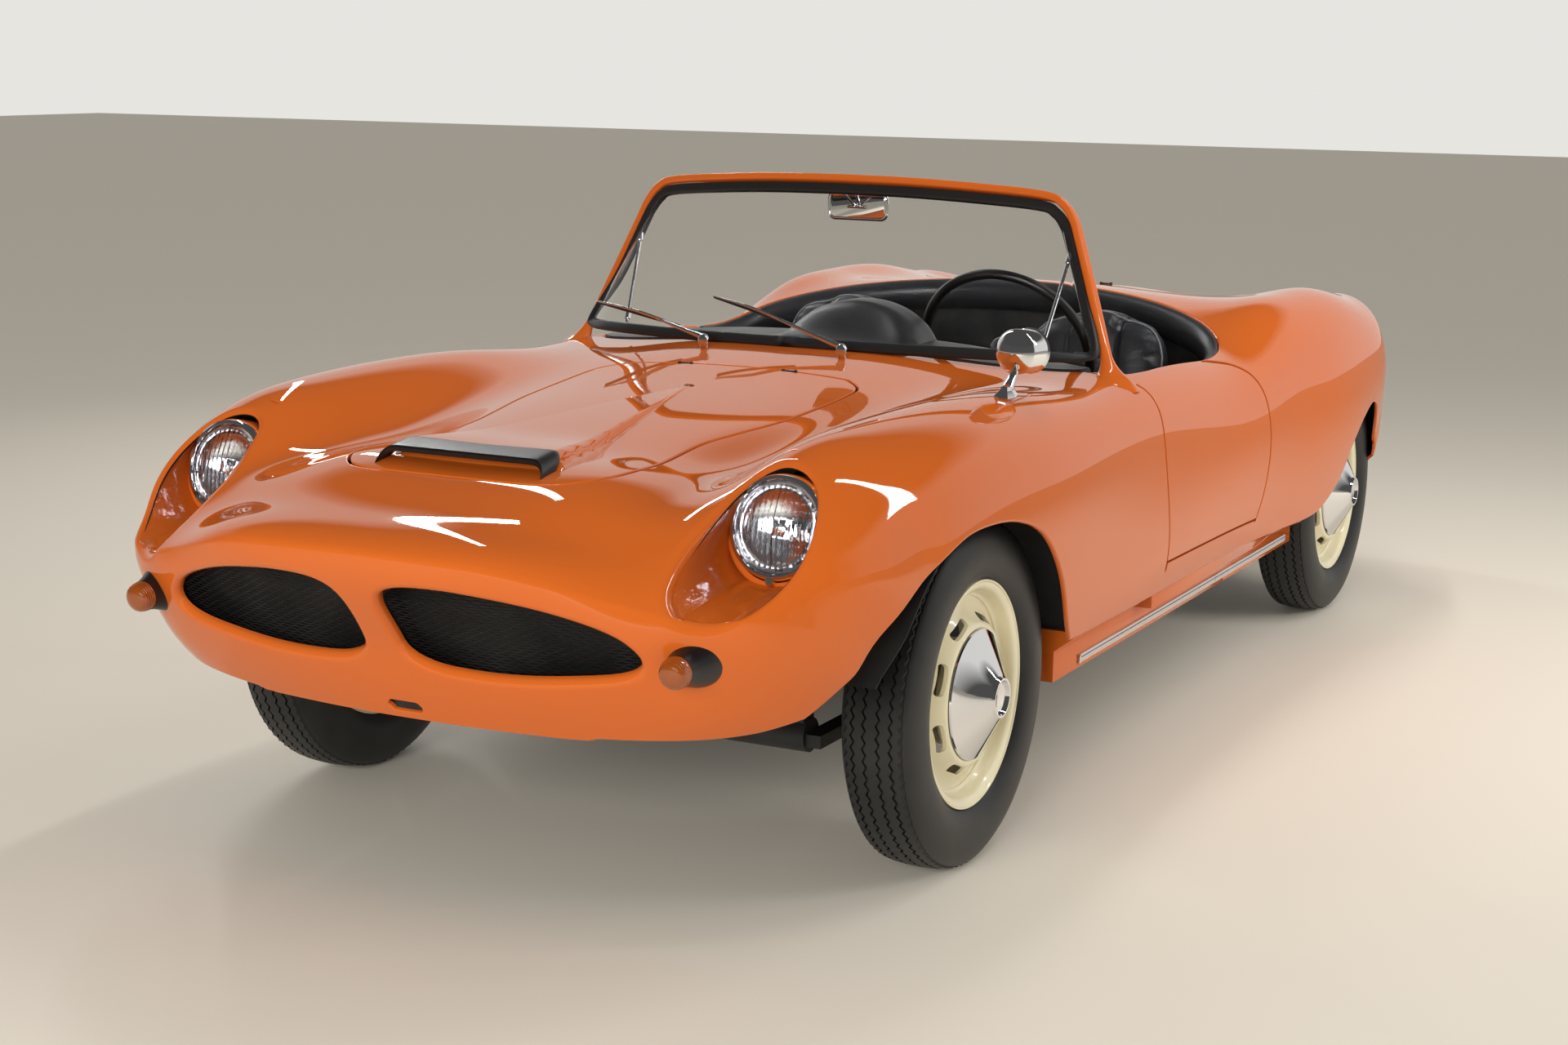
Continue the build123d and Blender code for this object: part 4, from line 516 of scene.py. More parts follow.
LAMP_X, LAMP_Y, LAMP_Z = 567, -500, 696
RECESS_R, RECESS_TAPER, RECESS_LEAN = 94.5, 0.03, 0.037
RECESS_BACK = (566, -432, 702)
RECESS_DIP = math.radians(6.5)
RECESS_LINE = np.array([RECESS_LEAN, -math.cos(RECESS_DIP), -math.sin(RECESS_DIP)])


def lamp_recess(at):
    """Distance outside the round recess of the headlamp, which narrows and leans outward ahead of it."""
    p = np.stack([np.abs(at[:, 0]), at[:, 1], at[:, 2]], 1) - RECESS_BACK
    along = p @ RECESS_LINE
    across = np.linalg.norm(p - along[:, None] * RECESS_LINE, axis=1)
    return np.where(at[:, 1] < -400, across - RECESS_R + RECESS_TAPER * along, 60)


def tow_slot(at):
    """Distance outside the towing slot in the apron."""
    length, height, z = TOW_SLOT
    x = np.maximum(np.abs(at[:, 0]) - (length - height) / 2, 0)
    return np.where(at[:, 1] < -500, np.hypot(x, at[:, 2] - z) - height / 2, 60)


def flipped(field, gap=0.0):
    """The same outline kept on its inside, smaller by a gap."""
    return lambda at: -field(at) - gap


def beyond(axis, level, way=1):
    """A field that is positive on one side of a level."""
    return lambda at: way * (at[:, axis] - level)


SEAM = 5
SEAM_ROUND = 2.5
EDGE_ROUND = 5
RIM_ROUND = 7
LIP_ROUND = 15
RECESS_ROUND = (9, 26)
BODY_SPLIT = 1592


def wider(field, gap):
    """The same outline, larger by a gap."""
    return lambda at: field(at) - gap


def recess_round(at):
    """Radius of the recess's rim, soft towards the middle and the crest."""
    x, z = np.abs(at[:, 0]) - RECESS_BACK[0], at[:, 2] - 668
    soft = np.clip(-(x * 0.8 + z * 0.6) / RECESS_R, 0, 1)
    return RECESS_ROUND[0] + (RECESS_ROUND[1] - RECESS_ROUND[0]) * soft * soft * (3 - 2 * soft)


def rise_side(width):
    """A field whose zero runs along one of the creases of the raised triangle."""
    return lambda at: width * np.clip((RISE_APEX - at[:, 1]) / (RISE_APEX - RISE_FRONT), 0, 1.1) - np.abs(at[:, 0])


# Finishes


def node_group(name, inputs, outputs):
    """An empty shader group with its named sockets."""
    group = bpy.data.node_groups.new(name, "ShaderNodeTree")
    for way, sockets in (("INPUT", inputs), ("OUTPUT", outputs)):
        for label, kind, value in sockets:
            socket = group.interface.new_socket(name=label, in_out=way, socket_type="NodeSocket" + kind)
            if value is not None:
                socket.default_value = value
    return group, group.nodes.new("NodeGroupInput"), group.nodes.new("NodeGroupOutput")


def noise(tree, source, scale, detail=3.0, stretch=(1, 1, 1)):
    """A noise texture on a piece's object coordinates."""
    mapping = tree.nodes.new("ShaderNodeMapping")
    mapping.inputs["Scale"].default_value = stretch
    tree.links.new(source, mapping.inputs["Vector"])
    texture = tree.nodes.new("ShaderNodeTexNoise")
    texture.inputs["Scale"].default_value = scale
    texture.inputs["Detail"].default_value = detail
    tree.links.new(mapping.outputs["Vector"], texture.inputs["Vector"])
    return texture.outputs["Fac"]


def ranged(tree, value, low, high, to_low, to_high):
    """A value spread from one range to another."""
    node = tree.nodes.new("ShaderNodeMapRange")
    for label, source in (("Value", value), ("From Min", low), ("From Max", high), ("To Min", to_low),
                          ("To Max", to_high)):
        if isinstance(source, (int, float)):
            node.inputs[label].default_value = source
        else:
            tree.links.new(source, node.inputs[label])
    return node.outputs["Result"]


def blended(tree, share, one, two):
    """A colour between two others."""
    node = tree.nodes.new("ShaderNodeMix")
    node.data_type = "RGBA"
    for index, source in ((0, share), (6, one), (7, two)):
        if isinstance(source, (tuple, list, float, int)):
            node.inputs[index].default_value = source
        else:
            tree.links.new(source, node.inputs[index])
    return node.outputs[2]


def build_surface_wear():
    """Light dust and fine unevenness, shared by most finishes."""
    group, inside, outside = node_group(
        "surface_wear",
        [("Colour", "Color", (0.5, 0.5, 0.5, 1)), ("Dust Colour", "Color", (0.3, 0.28, 0.25, 1)),
         ("Dust", "Float", 0.1), ("Roughness", "Float", 0.4), ("Unevenness", "Float", 0.1), ("Height", "Float", 0.0)],
        [("Colour", "Color", None), ("Roughness", "Float", None), ("Normal", "Vector", None)])
    place = group.nodes.new("ShaderNodeTexCoord").outputs["Object"]
    broad = noise(group, place, 9.0, 4.0)
    fine = noise(group, place, 160.0, 2.0)
    dust = group.nodes.new("ShaderNodeMath")
    dust.operation = "MULTIPLY"
    group.links.new(ranged(group, broad, 0.42, 0.7, 0.0, 1.0), dust.inputs[0])
    group.links.new(inside.outputs["Dust"], dust.inputs[1])
    group.links.new(blended(group, dust.outputs[0], inside.outputs["Colour"], inside.outputs["Dust Colour"]),
                    outside.inputs["Colour"])
    spread = group.nodes.new("ShaderNodeMath")
    spread.operation = "MULTIPLY_ADD"
    group.links.new(ranged(group, broad, 0.3, 0.7, -0.5, 0.5), spread.inputs[0])
    group.links.new(inside.outputs["Unevenness"], spread.inputs[1])
    group.links.new(inside.outputs["Roughness"], spread.inputs[2])
    group.links.new(spread.outputs[0], outside.inputs["Roughness"])
    bump = group.nodes.new("ShaderNodeBump")
    bump.inputs["Distance"].default_value = 0.0006
    group.links.new(inside.outputs["Height"], bump.inputs["Strength"])
    group.links.new(fine, bump.inputs["Height"])
    group.links.new(bump.outputs["Normal"], outside.inputs["Normal"])
    return group


surface_wear = build_surface_wear()


def finish(name, colour, roughness, dust=0.0, uneven=0.05, height=0.0, dust_colour=(0.3, 0.28, 0.25), **sockets):
    """A material from the shared wear group, with its constants on the shader itself."""
    material = bpy.data.materials.new(name)
    material.use_nodes = True
    tree = material.node_tree
    shader = tree.nodes["Principled BSDF"]
    wear = tree.nodes.new("ShaderNodeGroup")
    wear.node_tree = surface_wear
    wear.inputs["Colour"].default_value = (*colour, 1)
    wear.inputs["Dust Colour"].default_value = (*dust_colour, 1)
    wear.inputs["Dust"].default_value = dust
    wear.inputs["Roughness"].default_value = roughness
    wear.inputs["Unevenness"].default_value = uneven
    wear.inputs["Height"].default_value = height
    tree.links.new(wear.outputs["Colour"], shader.inputs["Base Color"])
    tree.links.new(wear.outputs["Roughness"], shader.inputs["Roughness"])
    if height:
        tree.links.new(wear.outputs["Normal"], shader.inputs["Normal"])
    for label, value in sockets.items():
        shader.inputs[label.replace("_", " ")].default_value = value
    return material


orange_paint = finish("orange_paint", (0.57, 0.115, 0.014), 0.4, uneven=0.02, Coat_Weight=1.0,
                      Coat_Roughness=0.025, Coat_IOR=1.5, Specular_IOR_Level=0.0)
cream_paint = finish("cream_paint", (0.76, 0.69, 0.47), 0.32, dust=0.12, Coat_Weight=0.6, Coat_Roughness=0.08)
underbody_black = finish("underbody_black", (0.012, 0.012, 0.012), 0.75, dust=0.25, height=0.5,
                         dust_colour=(0.05, 0.045, 0.04))
chassis_black = finish("chassis_black", (0.02, 0.02, 0.02), 0.5, dust=0.2, dust_colour=(0.07, 0.065, 0.06))
bright_chrome = finish("bright_chrome", (0.83, 0.84, 0.86), 0.06, uneven=0.04, Metallic=1.0)
trim_aluminium = finish("trim_aluminium", (0.72, 0.72, 0.73), 0.28, uneven=0.12, Metallic=1.0)
engine_alloy = finish("engine_alloy", (0.3, 0.3, 0.31), 0.5, dust=0.4, height=0.4, Metallic=0.8)
exhaust_steel = finish("exhaust_steel", (0.32, 0.3, 0.28), 0.42, dust=0.3, Metallic=0.9)
black_rubber = finish("black_rubber", (0.014, 0.014, 0.014), 0.45, uneven=0.1)
tyre_rubber = finish("tyre_rubber", (0.011, 0.011, 0.0115), 0.46, dust=0.22, uneven=0.1, height=0.15,
                     dust_colour=(0.06, 0.056, 0.05))
black_trim = finish("black_trim", (0.012, 0.012, 0.012), 0.6, dust=0.1, height=0.3)
gloss_black = finish("gloss_black", (0.006, 0.006, 0.006), 0.42, Coat_Weight=0.15, Coat_Roughness=0.1)
grille_black = finish("grille_black", (0.012, 0.012, 0.012), 0.5, dust=0.1)
amber_plastic = finish("amber_plastic", (0.62, 0.13, 0.004), 0.12, Coat_Weight=1.0, Transmission_Weight=0.6)
red_plastic = finish("red_plastic", (0.5, 0.01, 0.012), 0.16, Coat_Weight=1.0, Transmission_Weight=0.25)
bright_reflector = finish("bright_reflector", (0.9, 0.9, 0.92), 0.12, Metallic=1.0)
black_leather = finish("black_leather", (0.022, 0.023, 0.026), 0.42, uneven=0.15, height=0.5, Coat_Weight=0.15,
                       Coat_Roughness=0.3)

# Panels of the skin

whole = whole_sheet(16, 9)
front = trim(copied(whole), beyond(1, 907, -1))
for field, radius in ((cockpit, RIM_ROUND), (wider(bonnet_shape, SEAM), SEAM_ROUND), (underside, EDGE_ROUND),
                      (grille_shape, LIP_ROUND), (tow_slot, 3), (lamp_recess, recess_round),
                      (wider(door_shape, SEAM), SEAM_ROUND)):
    edge_of(front, field, radius)


def at_recess(at):
    """Which points lie on the rim of a lamp recess."""
    return np.abs(lamp_recess(at)) < 1.5


def recess_floor(points):
    """Where the wall of the recess ends behind each of the points, on its back plane."""
    back = np.array(RECESS_BACK)
    along = (np.stack([np.abs(points[:, 0]), points[:, 1], points[:, 2]], 1) - back) @ RECESS_LINE
    return points - along[:, None] * RECESS_LINE


panel("front_body_skin", front, [orange_paint, underbody_black], "body", ["front_body"],
      wells=[(at_recess, recess_floor)])
del front

rear = trim(trim(copied(whole), beyond(1, 1372)), lambda at: np.maximum(at[:, 1] - BODY_SPLIT, at[:, 2] - 400))
for field, radius in ((cockpit, RIM_ROUND), (wider(lid_shape, SEAM), SEAM_ROUND), (underside, EDGE_ROUND),
                      (wider(door_shape, SEAM), SEAM_ROUND)):
    edge_of(rear, field, radius)
panel("rear_body_skin", rear, [orange_paint, underbody_black], "body", ["rear_body"])
del rear

strip = trim(trim(trim(copied(whole), beyond(1, 907)), beyond(1, BODY_SPLIT, -1)), beyond(2, 420, -1))
edge_of(strip, underside, EDGE_ROUND)
edge_of(strip, wider(door_shape, SEAM), SEAM_ROUND)
panel("sill_skin", strip, [orange_paint, underbody_black], "body")

bonnet_sheet = trim(trim(copied(whole), beyond(1, 420, -1)), lambda at: 320 - np.abs(at[:, 0]))
trim(bonnet_sheet, beyond(2, 600))
for width in (RISE_FOOT, (RISE_FOOT + RISE_TOP) / 2, RISE_TOP):
    split(bonnet_sheet, rise_side(width))
for place in (RISE_FRONT - 22, RISE_FRONT - 11, RISE_FRONT):
    split(bonnet_sheet, beyond(1, place))
edge_of(bonnet_sheet, flipped(bonnet_shape), SEAM_ROUND)
panel("bonnet_skin", bonnet_sheet, [orange_paint, underbody_black], "bonnet", ["bonnet"])

lid_sheet = trim(trim(copied(whole), beyond(1, 2150)), lambda at: 350 - np.abs(at[:, 0]))
trim(lid_sheet, beyond(2, 600))
edge_of(lid_sheet, flipped(lid_shape), SEAM_ROUND)
panel("engine_lid_skin", lid_sheet, [orange_paint, underbody_black], "engine_lid", ["engine_lid"])

for side, label in ((1, "left"), (-1, "right")):
    door = trim(trim(copied(whole), beyond(1, 840)), beyond(1, 1630, -1))
    trim(door, beyond(0, side * 560, side))
    edge_of(door, flipped(door_shape), SEAM_ROUND)
    edge_of(door, cockpit, RIM_ROUND)
    panel(f"door_{label}_skin", door, [orange_paint, underbody_black], f"door_{label}", [f"door_{label}"])


# Making pieces by hand


def only(piece):
    """Selects one piece alone."""
    bpy.ops.object.select_all(action="DESELECT")
    piece.select_set(True)
    bpy.context.view_layer.objects.active = piece


def settled(piece, name, material, angle=35):
    """A finished piece: named, placed in its mesh, shaded and given its material."""
    only(piece)
    bpy.ops.object.transform_apply(location=True, rotation=True, scale=True)
    piece.name = piece.data.name = name
    if not piece.data.materials:
        piece.data.materials.append(material)
    bpy.ops.object.shade_smooth_by_angle(angle=math.radians(angle))
    return piece


def edited(piece, *steps):
    """Runs edit mode steps on the whole of a piece."""
    only(piece)
    bpy.ops.object.mode_set(mode="EDIT")
    for step in steps:
        bpy.ops.mesh.select_all(action="SELECT")
        step()
    bpy.ops.object.mode_set(mode="OBJECT")
    return piece


def cleaned():
    """Merges doubles and turns the faces outwards, in edit mode."""
    bpy.ops.mesh.remove_doubles(threshold=0.00002)
    bpy.ops.mesh.normals_make_consistent(inside=False)


def joined(pieces, name):
    """Several pieces as one."""
    bpy.ops.object.select_all(action="DESELECT")
    for piece in pieces:
        piece.select_set(True)
    bpy.context.view_layer.objects.active = pieces[0]
    if len(pieces) > 1:
        bpy.ops.object.join()
    pieces[0].name = pieces[0].data.name = name
    return pieces[0]


def duplicate(piece, name, turn=None):
    """A copy with a mesh of its own, turned by a matrix in its mesh."""
    twin = piece.copy()
    twin.data = piece.data.copy()
    twin.name = twin.data.name = name
    bpy.context.scene.collection.objects.link(twin)
    if turn is not None:
        twin.data.transform(turn)
        if turn.determinant() < 0:
            twin.data.flip_normals()
    return twin


MIRROR = Matrix.Diagonal((-1, 1, 1, 1))


def paired(piece, name, nodes=()):
    """A left piece and its mirror image, as one piece on the body."""
    return carried(joined([piece, duplicate(piece, piece.name + "_right", MIRROR)], name), "body", nodes)


def made(name, points, faces):
    """A new object from points behind the front axle and their faces."""
    mesh = bpy.data.meshes.new(name)
    mesh.from_pydata([tuple(p) for p in metre(points)], [], faces)
    piece = bpy.data.objects.new(name, mesh)
    bpy.context.scene.collection.objects.link(piece)
    return piece


def ring_faces(count, size):
    """Faces between rings of points that follow each other, with one at each end."""
    sides = [(i * size + j, i * size + (j + 1) % size, (i + 1) * size + (j + 1) % size, (i + 1) * size + j)
             for i in range(count - 1) for j in range(size)]
    return sides + [tuple(range(size)), tuple(range((count - 1) * size, count * size))]


def block(name, low, high, material, bevel=1.5, segments=2):
    """A box with rounded edges, from its corners behind the front axle."""
    low, high = metre(low), metre(high)
    bpy.ops.mesh.primitive_cube_add(size=1, location=tuple((low + high) / 2))
    piece = bpy.context.object
    piece.scale = tuple(high - low)
    only(piece)
    bpy.ops.object.transform_apply(location=False, rotation=False, scale=True)
    if bevel:
        edited(piece, lambda: bpy.ops.mesh.bevel(offset=bevel / 1000, segments=segments, affect="EDGES"))
    return settled(piece, name, material)


def turned(name, outline, at, axis, material, steps=64, angle=30):
    """A piece turned about an axis from its outline of place along it and radius, in millimetres."""
    at, axis = Vector(metre(at)), Vector(axis).normalized()
    side = axis.orthogonal().normalized()
    mesh = bpy.data.meshes.new(name)
    mesh.from_pydata([at + axis * (a / 1000) + side * (r / 1000) for a, r in outline],
                     [(i, i + 1) for i in range(len(outline) - 1)], [])
    piece = bpy.data.objects.new(name, mesh)
    bpy.context.scene.collection.objects.link(piece)
    edited(piece, lambda: bpy.ops.mesh.spin(steps=steps, angle=math.tau, center=at, axis=axis), cleaned)
    return settled(piece, name, material, angle)


def tube(name, points, radius, material, taper=None, sides=10, smooth=True, closed=False):
    """A round bar along a line of points, behind the front axle."""
    bpy.ops.curve.primitive_nurbs_path_add()
    piece = bpy.context.object
    curve = piece.data
    curve.splines.clear()
    line = eased(points, 6) if smooth and len(points) > 2 else np.asarray(points, float)
    spline = curve.splines.new("POLY")
    spline.points.add(len(line) - 1)
    taper = (1, 1) if taper is None else taper
    for i, (point, place) in enumerate(zip(spline.points, metre(line))):
        point.co = (*place, 1)
        point.radius = float(np.interp(i / (len(line) - 1), np.linspace(0, 1, len(taper)), taper))
    spline.use_cyclic_u = closed
    curve.dimensions = "3D"
    curve.bevel_depth = radius / 1000
    curve.bevel_resolution = max(1, sides // 4)
    curve.use_fill_caps = not closed
    only(piece)
    piece.location = (0, 0, 0)
    bpy.ops.object.convert(target="MESH")
    edited(piece, cleaned)
    return settled(piece, name, material, 50)


def strip_along(name, centres, across, normals, profile, material, angle=40):
    """A bar with a profile of (across, out) points swept along stations behind the front axle."""
    centres, across, normals = (np.asarray(a, float) for a in (centres, across, normals))
    across = unit(across)
    normals = unit(normals - (normals * across).sum(1)[:, None] * across)
    rings = np.array([[c + a * x + n * z for x, z in profile] for c, a, n in zip(centres, across, normals)])
    piece = made(name, rings.reshape(-1, 3), ring_faces(*rings.shape[:2]))
    edited(piece, cleaned)
    return settled(piece, name, material, angle)


def rounded_box(width, depth, corner, per=4):
    """The outline of a rounded rectangle as (across, out) points."""
    points = []
    for k, (sx, sz) in enumerate(((1, 1), (-1, 1), (-1, -1), (1, -1))):
        for t in np.linspace(0, math.pi / 2, per):
            a = t + k * math.pi / 2
            points.append((sx * (width / 2 - corner) + corner * math.cos(a),
                           sz * (depth / 2 - corner) + corner * math.sin(a)))
    return points


def smooth_stations(stations, per=6):
    """Stations of centre, across and normal, eased, with more of them, and mirrored over the middle."""
    table = eased([[*c, *a, *n] for c, a, n in stations], per)
    other = table[::-1][1:] * [-1, 1, 1, -1, 1, 1, -1, 1, 1]
    table = np.concatenate([table, other])
    return table[:, :3], table[:, 3:6], table[:, 6:]


# The windscreen: hoop, seal, glass, stays, wipers and mirrors

HOOP = [((660, 800, 752), (0.86, -0.5, 0), (0.5, 0.8, -0.3)), ((637, 840, 806), (0.86, -0.5, 0.1), (0.5, 0.8, -0.3)),
        ((582, 882, 945), (0.88, -0.3, 0.36), (0.42, 0.85, -0.3)),
        ((534, 914, 1066), (0.88, -0.2, 0.42), (0.4, 0.86, -0.3)),
        ((518, 922, 1104), (0.85, -0.1, 0.52), (0.38, 0.86, -0.35)),
        ((494, 926, 1136), (0.62, 0.1, 0.78), (0.3, 0.88, -0.38)),
        ((450, 921, 1155), (0.25, 0.4, 0.88), (0.22, 0.88, -0.4)),
        ((300, 891, 1168), (0.05, 0.45, 0.88), (0.14, 0.88, -0.45)),
        ((150, 873, 1175), (0.02, 0.46, 0.88), (0.06, 0.88, -0.46)),
        ((0, 868, 1177), (0, 0.46, 0.88), (0, 0.88, -0.46))]
SEAL = [((0, 617, 848), (0, -0.6, -0.8), (0, 0.8, -0.6)), ((200, 634, 846), (0.02, -0.6, -0.8), (0.06, 0.8, -0.6)),
        ((400, 690, 842), (0.05, -0.6, -0.8), (0.3, 0.8, -0.5)),
        ((520, 748, 838), (0.15, -0.6, -0.8), (0.4, 0.8, -0.45)),
        ((588, 800, 836), (0.45, -0.55, -0.7), (0.5, 0.8, -0.35)),
        ((606, 830, 850), (0.8, -0.5, -0.2), (0.5, 0.8, -0.3)),
        ((565, 874, 938), (0.88, -0.3, 0.3), (0.42, 0.85, -0.3)),
        ((517, 906, 1058), (0.88, -0.2, 0.42), (0.4, 0.86, -0.3)),
        ((501, 914, 1093), (0.85, -0.1, 0.52), (0.38, 0.86, -0.35)),
        ((479, 917, 1119), (0.62, 0.1, 0.78), (0.3, 0.88, -0.38)),
        ((442, 911, 1135), (0.25, 0.4, 0.88), (0.22, 0.88, -0.4)),
        ((300, 880, 1147), (0.05, 0.45, 0.88), (0.14, 0.88, -0.45)),
        ((150, 862, 1154), (0.02, 0.46, 0.88), (0.06, 0.88, -0.46)),
        ((0, 857, 1156), (0, 0.46, 0.88), (0, 0.88, -0.46))]

hoop = strip_along("windscreen_hoop", *smooth_stations(HOOP), rounded_box(17, 25, 7, 6), orange_paint)
# Rings of the flared foot of a pillar: its middle and half sizes out and along
FOOT_RINGS = [((610, 860, 876), 7, 11), ((623, 850, 842), 9, 13), ((632, 843, 820), 13, 18), ((640, 836, 803), 20, 29),
              ((648, 828, 789), 31, 46), ((655, 820, 768), 42, 62)]
FOOT_SIDES = 32


def pillar_foot():
    """The flared foot of the left windscreen pillar."""
    out, along = unit(np.array([(0.87, -0.5, 0), (0.5, 0.87, 0)], float))
    turn = np.linspace(0, math.tau, FOOT_SIDES, endpoint=False)[:, None]
    points = [np.array(c, float) + a * np.cos(turn) * out + b * np.sin(turn) * along for c, a, b in FOOT_RINGS]
    points = np.concatenate([p[None] for p in points])
    points = eased(points.reshape(len(FOOT_RINGS), -1).tolist(), 5).reshape(-1, FOOT_SIDES, 3)
    foot = made("pillar_foot", points.reshape(-1, 3), ring_faces(len(points), FOOT_SIDES))
    edited(foot, cleaned)
    return settled(foot, "pillar_foot", orange_paint, 60)


foot = pillar_foot()
hoop = joined([hoop, duplicate(foot, "pillar_foot_right", MIRROR), foot], "windscreen_hoop")
carried(hoop, "body", ["windscreen_frame"])
seal = strip_along("windscreen_rubber", *smooth_stations(SEAL), rounded_box(23, 17, 6), black_rubber)
carried(seal, "body", ["windscreen_seal"])

clear_glass = finish("clear_glass", (1.0, 1.0, 1.0), 0.0, uneven=0.0, Transmission_Weight=1.0, IOR=1.1)

GLASS_LOW = [(600, 822, 844), (588, 800, 836), (520, 748, 838), (400, 690, 842), (200, 634, 846), (0, 617, 848)]
GLASS_HIGH = [(494, 911, 1096), (475, 913, 1117), (438, 908, 1132), (300, 880, 1145), (150, 862, 1152), (0, 857, 1154)]
GLASS_THICK = 4


def windscreen_pane():
    """The curved pane between the lower and the upper seal."""
    low, high = eased(GLASS_LOW, 6), eased(GLASS_HIGH, 6)
    low = np.concatenate([low, low[::-1][1:] * [-1, 1, 1]])
    high = np.concatenate([high, high[::-1][1:] * [-1, 1, 1]])
    t = np.linspace(0, 1, 9)[:, None, None]
    grid = low + t * (high - low)
    bulge = 1 - (2 * t - 1) ** 2
    grid = grid + bulge * np.array([0, -9, 3]) * (1 - (np.abs(grid[..., :1]) / 620) ** 2)
    step = unit(np.cross(np.gradient(grid, axis=1), np.gradient(grid, axis=0)))
    rows, cols = grid.shape[:2]
    half = step * GLASS_THICK / 2
    points = np.concatenate([(grid + half).reshape(-1, 3), (grid - half).reshape(-1, 3)])
    size = rows * cols
    faces = []
    for i in range(rows - 1):
        for j in range(cols - 1):
            a = i * cols + j
            faces += [(a, a + 1, a + cols + 1, a + cols),
                      (a + size + cols, a + size + cols + 1, a + size + 1, a + size)]
    loop = [j for j in range(cols)] + [i * cols + cols - 1 for i in range(1, rows)] \
        + [(rows - 1) * cols + j for j in range(cols - 2, -1, -1)] + [i * cols for i in range(rows - 2, 0, -1)]
    for a, b in zip(loop, loop[1:] + loop[:1]):
        faces.append((b, a, a + size, b + size))
    piece = made("windscreen_pane", points, faces)
    edited(piece, cleaned)
    return settled(piece, "windscreen_pane", clear_glass, 30)


carried(windscreen_pane(), "body", ["windscreen_glass"])

WIPERS = [((162, 549, 848), (-30, 606, 900), (-190, 640, 932)), ((-162, 549, 848), (-300, 588, 882), (-465, 612, 908))]
arms, blades = [], []
for k, (pivot, elbow, tip) in enumerate(WIPERS):
    p, e, t = (np.array(q, float) for q in (pivot, elbow, tip))
    arms.append(turned(f"wiper_boss_{k}", [(-34, 0), (-34, 9), (-4, 9), (-4, 12), (4, 12), (10, 9), (13, 5), (14, 0)],
                       p, (0, -0.25, 0.97), bright_chrome, 32))
    arms.append(tube(f"wiper_arm_{k}", [p + [0, 0, 7], p + 0.3 * (e - p) + [0, -2, 5], e + [0, 0, 1]], 5, bright_chrome,
                     taper=(1.35, 1.0, 0.62), smooth=False))
    start = e + (e - t) * 0.35
    arms.append(tube(f"wiper_spine_{k}", [start, start + 0.5 * (t - start) + [0, -7, 6], t], 2.6, bright_chrome,
                     taper=(0.6, 1.2, 0.6)))
    arms.append(tube(f"wiper_link_{k}", [e + [0, -2, 2], start + 0.5 * (t - start) + [0, -7, 6]], 3, bright_chrome,
                     smooth=False))
    blades.append(tube(f"wiper_blade_{k}", [start + [0, 7, -3], t + [0, 7, -3]], 3.2, black_rubber, smooth=False))
carried(joined(arms, "wiper_arms"), "body", ["wipers"])
carried(joined(blades, "wiper_blades"), "body")

STAY_TOP, STAY_FOOT = (521, 900, 1040), (500, 800, 842)
stays = []
for side in (1, -1):
    top, foot = np.array(STAY_TOP, float) * [side, 1, 1], np.array(STAY_FOOT, float) * [side, 1, 1]
    line = unit((top - foot)[None])[0]
    stays += [tube(f"stay_{side}", [foot, top], 4, bright_chrome, smooth=False),
              tube(f"stay_nut_{side}", [foot + line * 8, foot + line * 26], 7, bright_chrome, sides=6, smooth=False),
              tube(f"stay_top_{side}", [top - line * 24, top + line * 4], 6.5, bright_chrome, smooth=False)]
carried(joined(stays, "windscreen_stay_rods"), "body", ["windscreen_stays"])

MIRROR_AT, MIRROR_FOOT, MIRROR_R = (640, 349, 899), (640, 274, 822), 47
shell = turned("mirror_shell", [(24, 0), (24, 41), (28, 44), (31, 41)] +
               [(MIRROR_R * math.sin(a) - 6, MIRROR_R * math.cos(a))
                for a in np.linspace(math.radians(-24), math.radians(-90), 20)],
               MIRROR_AT, (0.16, 0.98, -0.05), bright_chrome, 48, 40)
foot = turned("mirror_foot", [(0, 0), (0, 25), (3, 26), (8, 21), (14, 14), (20, 11), (24, 0)], MIRROR_FOOT,
              (0.12, -0.1, 1), bright_chrome, 8, 20)
foot.data.transform(Matrix.Translation(Vector(metre(MIRROR_FOOT))) @ Matrix.Diagonal((0.75, 1.35, 1, 1))
                    @ Matrix.Translation(-Vector(metre(MIRROR_FOOT))))
neck = tube("mirror_neck", [(640, 278, 834), (640, 300, 852), (640, 322, 870), (640, 340, 885)], 9, bright_chrome,
            taper=(1.35, 1.0, 0.8, 1.0))
carried(joined([shell, foot, neck], "wing_mirror_chrome"), "body", ["wing_mirror"])

bpy.ops.mesh.primitive_cube_add(size=1, location=tuple(metre((0, 952, 1114))))
glass = bpy.context.object
glass.scale = (0.132, 0.008, 0.05)
only(glass)
bpy.ops.object.transform_apply(location=False, rotation=False, scale=True)
edited(glass, lambda: bpy.ops.mesh.bevel(offset=0.012, segments=6, affect="VERTICES"))
glass = settled(glass, "mirror_glass", finish("mirror_glass", (0.85, 0.86, 0.87), 0.03, uneven=0.02, Metallic=1.0))
loop = [(56 * sx + 13 * math.cos(a), 952, 1114 + 14 * sz + 13 * math.sin(a))
        for (sx, sz), first in (((1, 1), 0), ((-1, 1), 90), ((-1, -1), 180), ((1, -1), 270))
        for a in np.radians(np.linspace(first, first + 90, 7))]
border = tube("mirror_border", loop, 5, bright_chrome, smooth=False, closed=True)
arms = [tube(f"mirror_arm_{side}", [(side * 6, 948, 1114), (side * 10, 930, 1128), (side * 24, 882, 1168)], 3.2,
             bright_chrome) for side in (1, -1)]
arms.append(tube("mirror_bar", [(-22, 946, 1112), (22, 946, 1112)], 3.5, bright_chrome, smooth=False))
carried(joined([border, glass] + arms, "interior_mirror_piece"), "body", ["interior_mirror"])


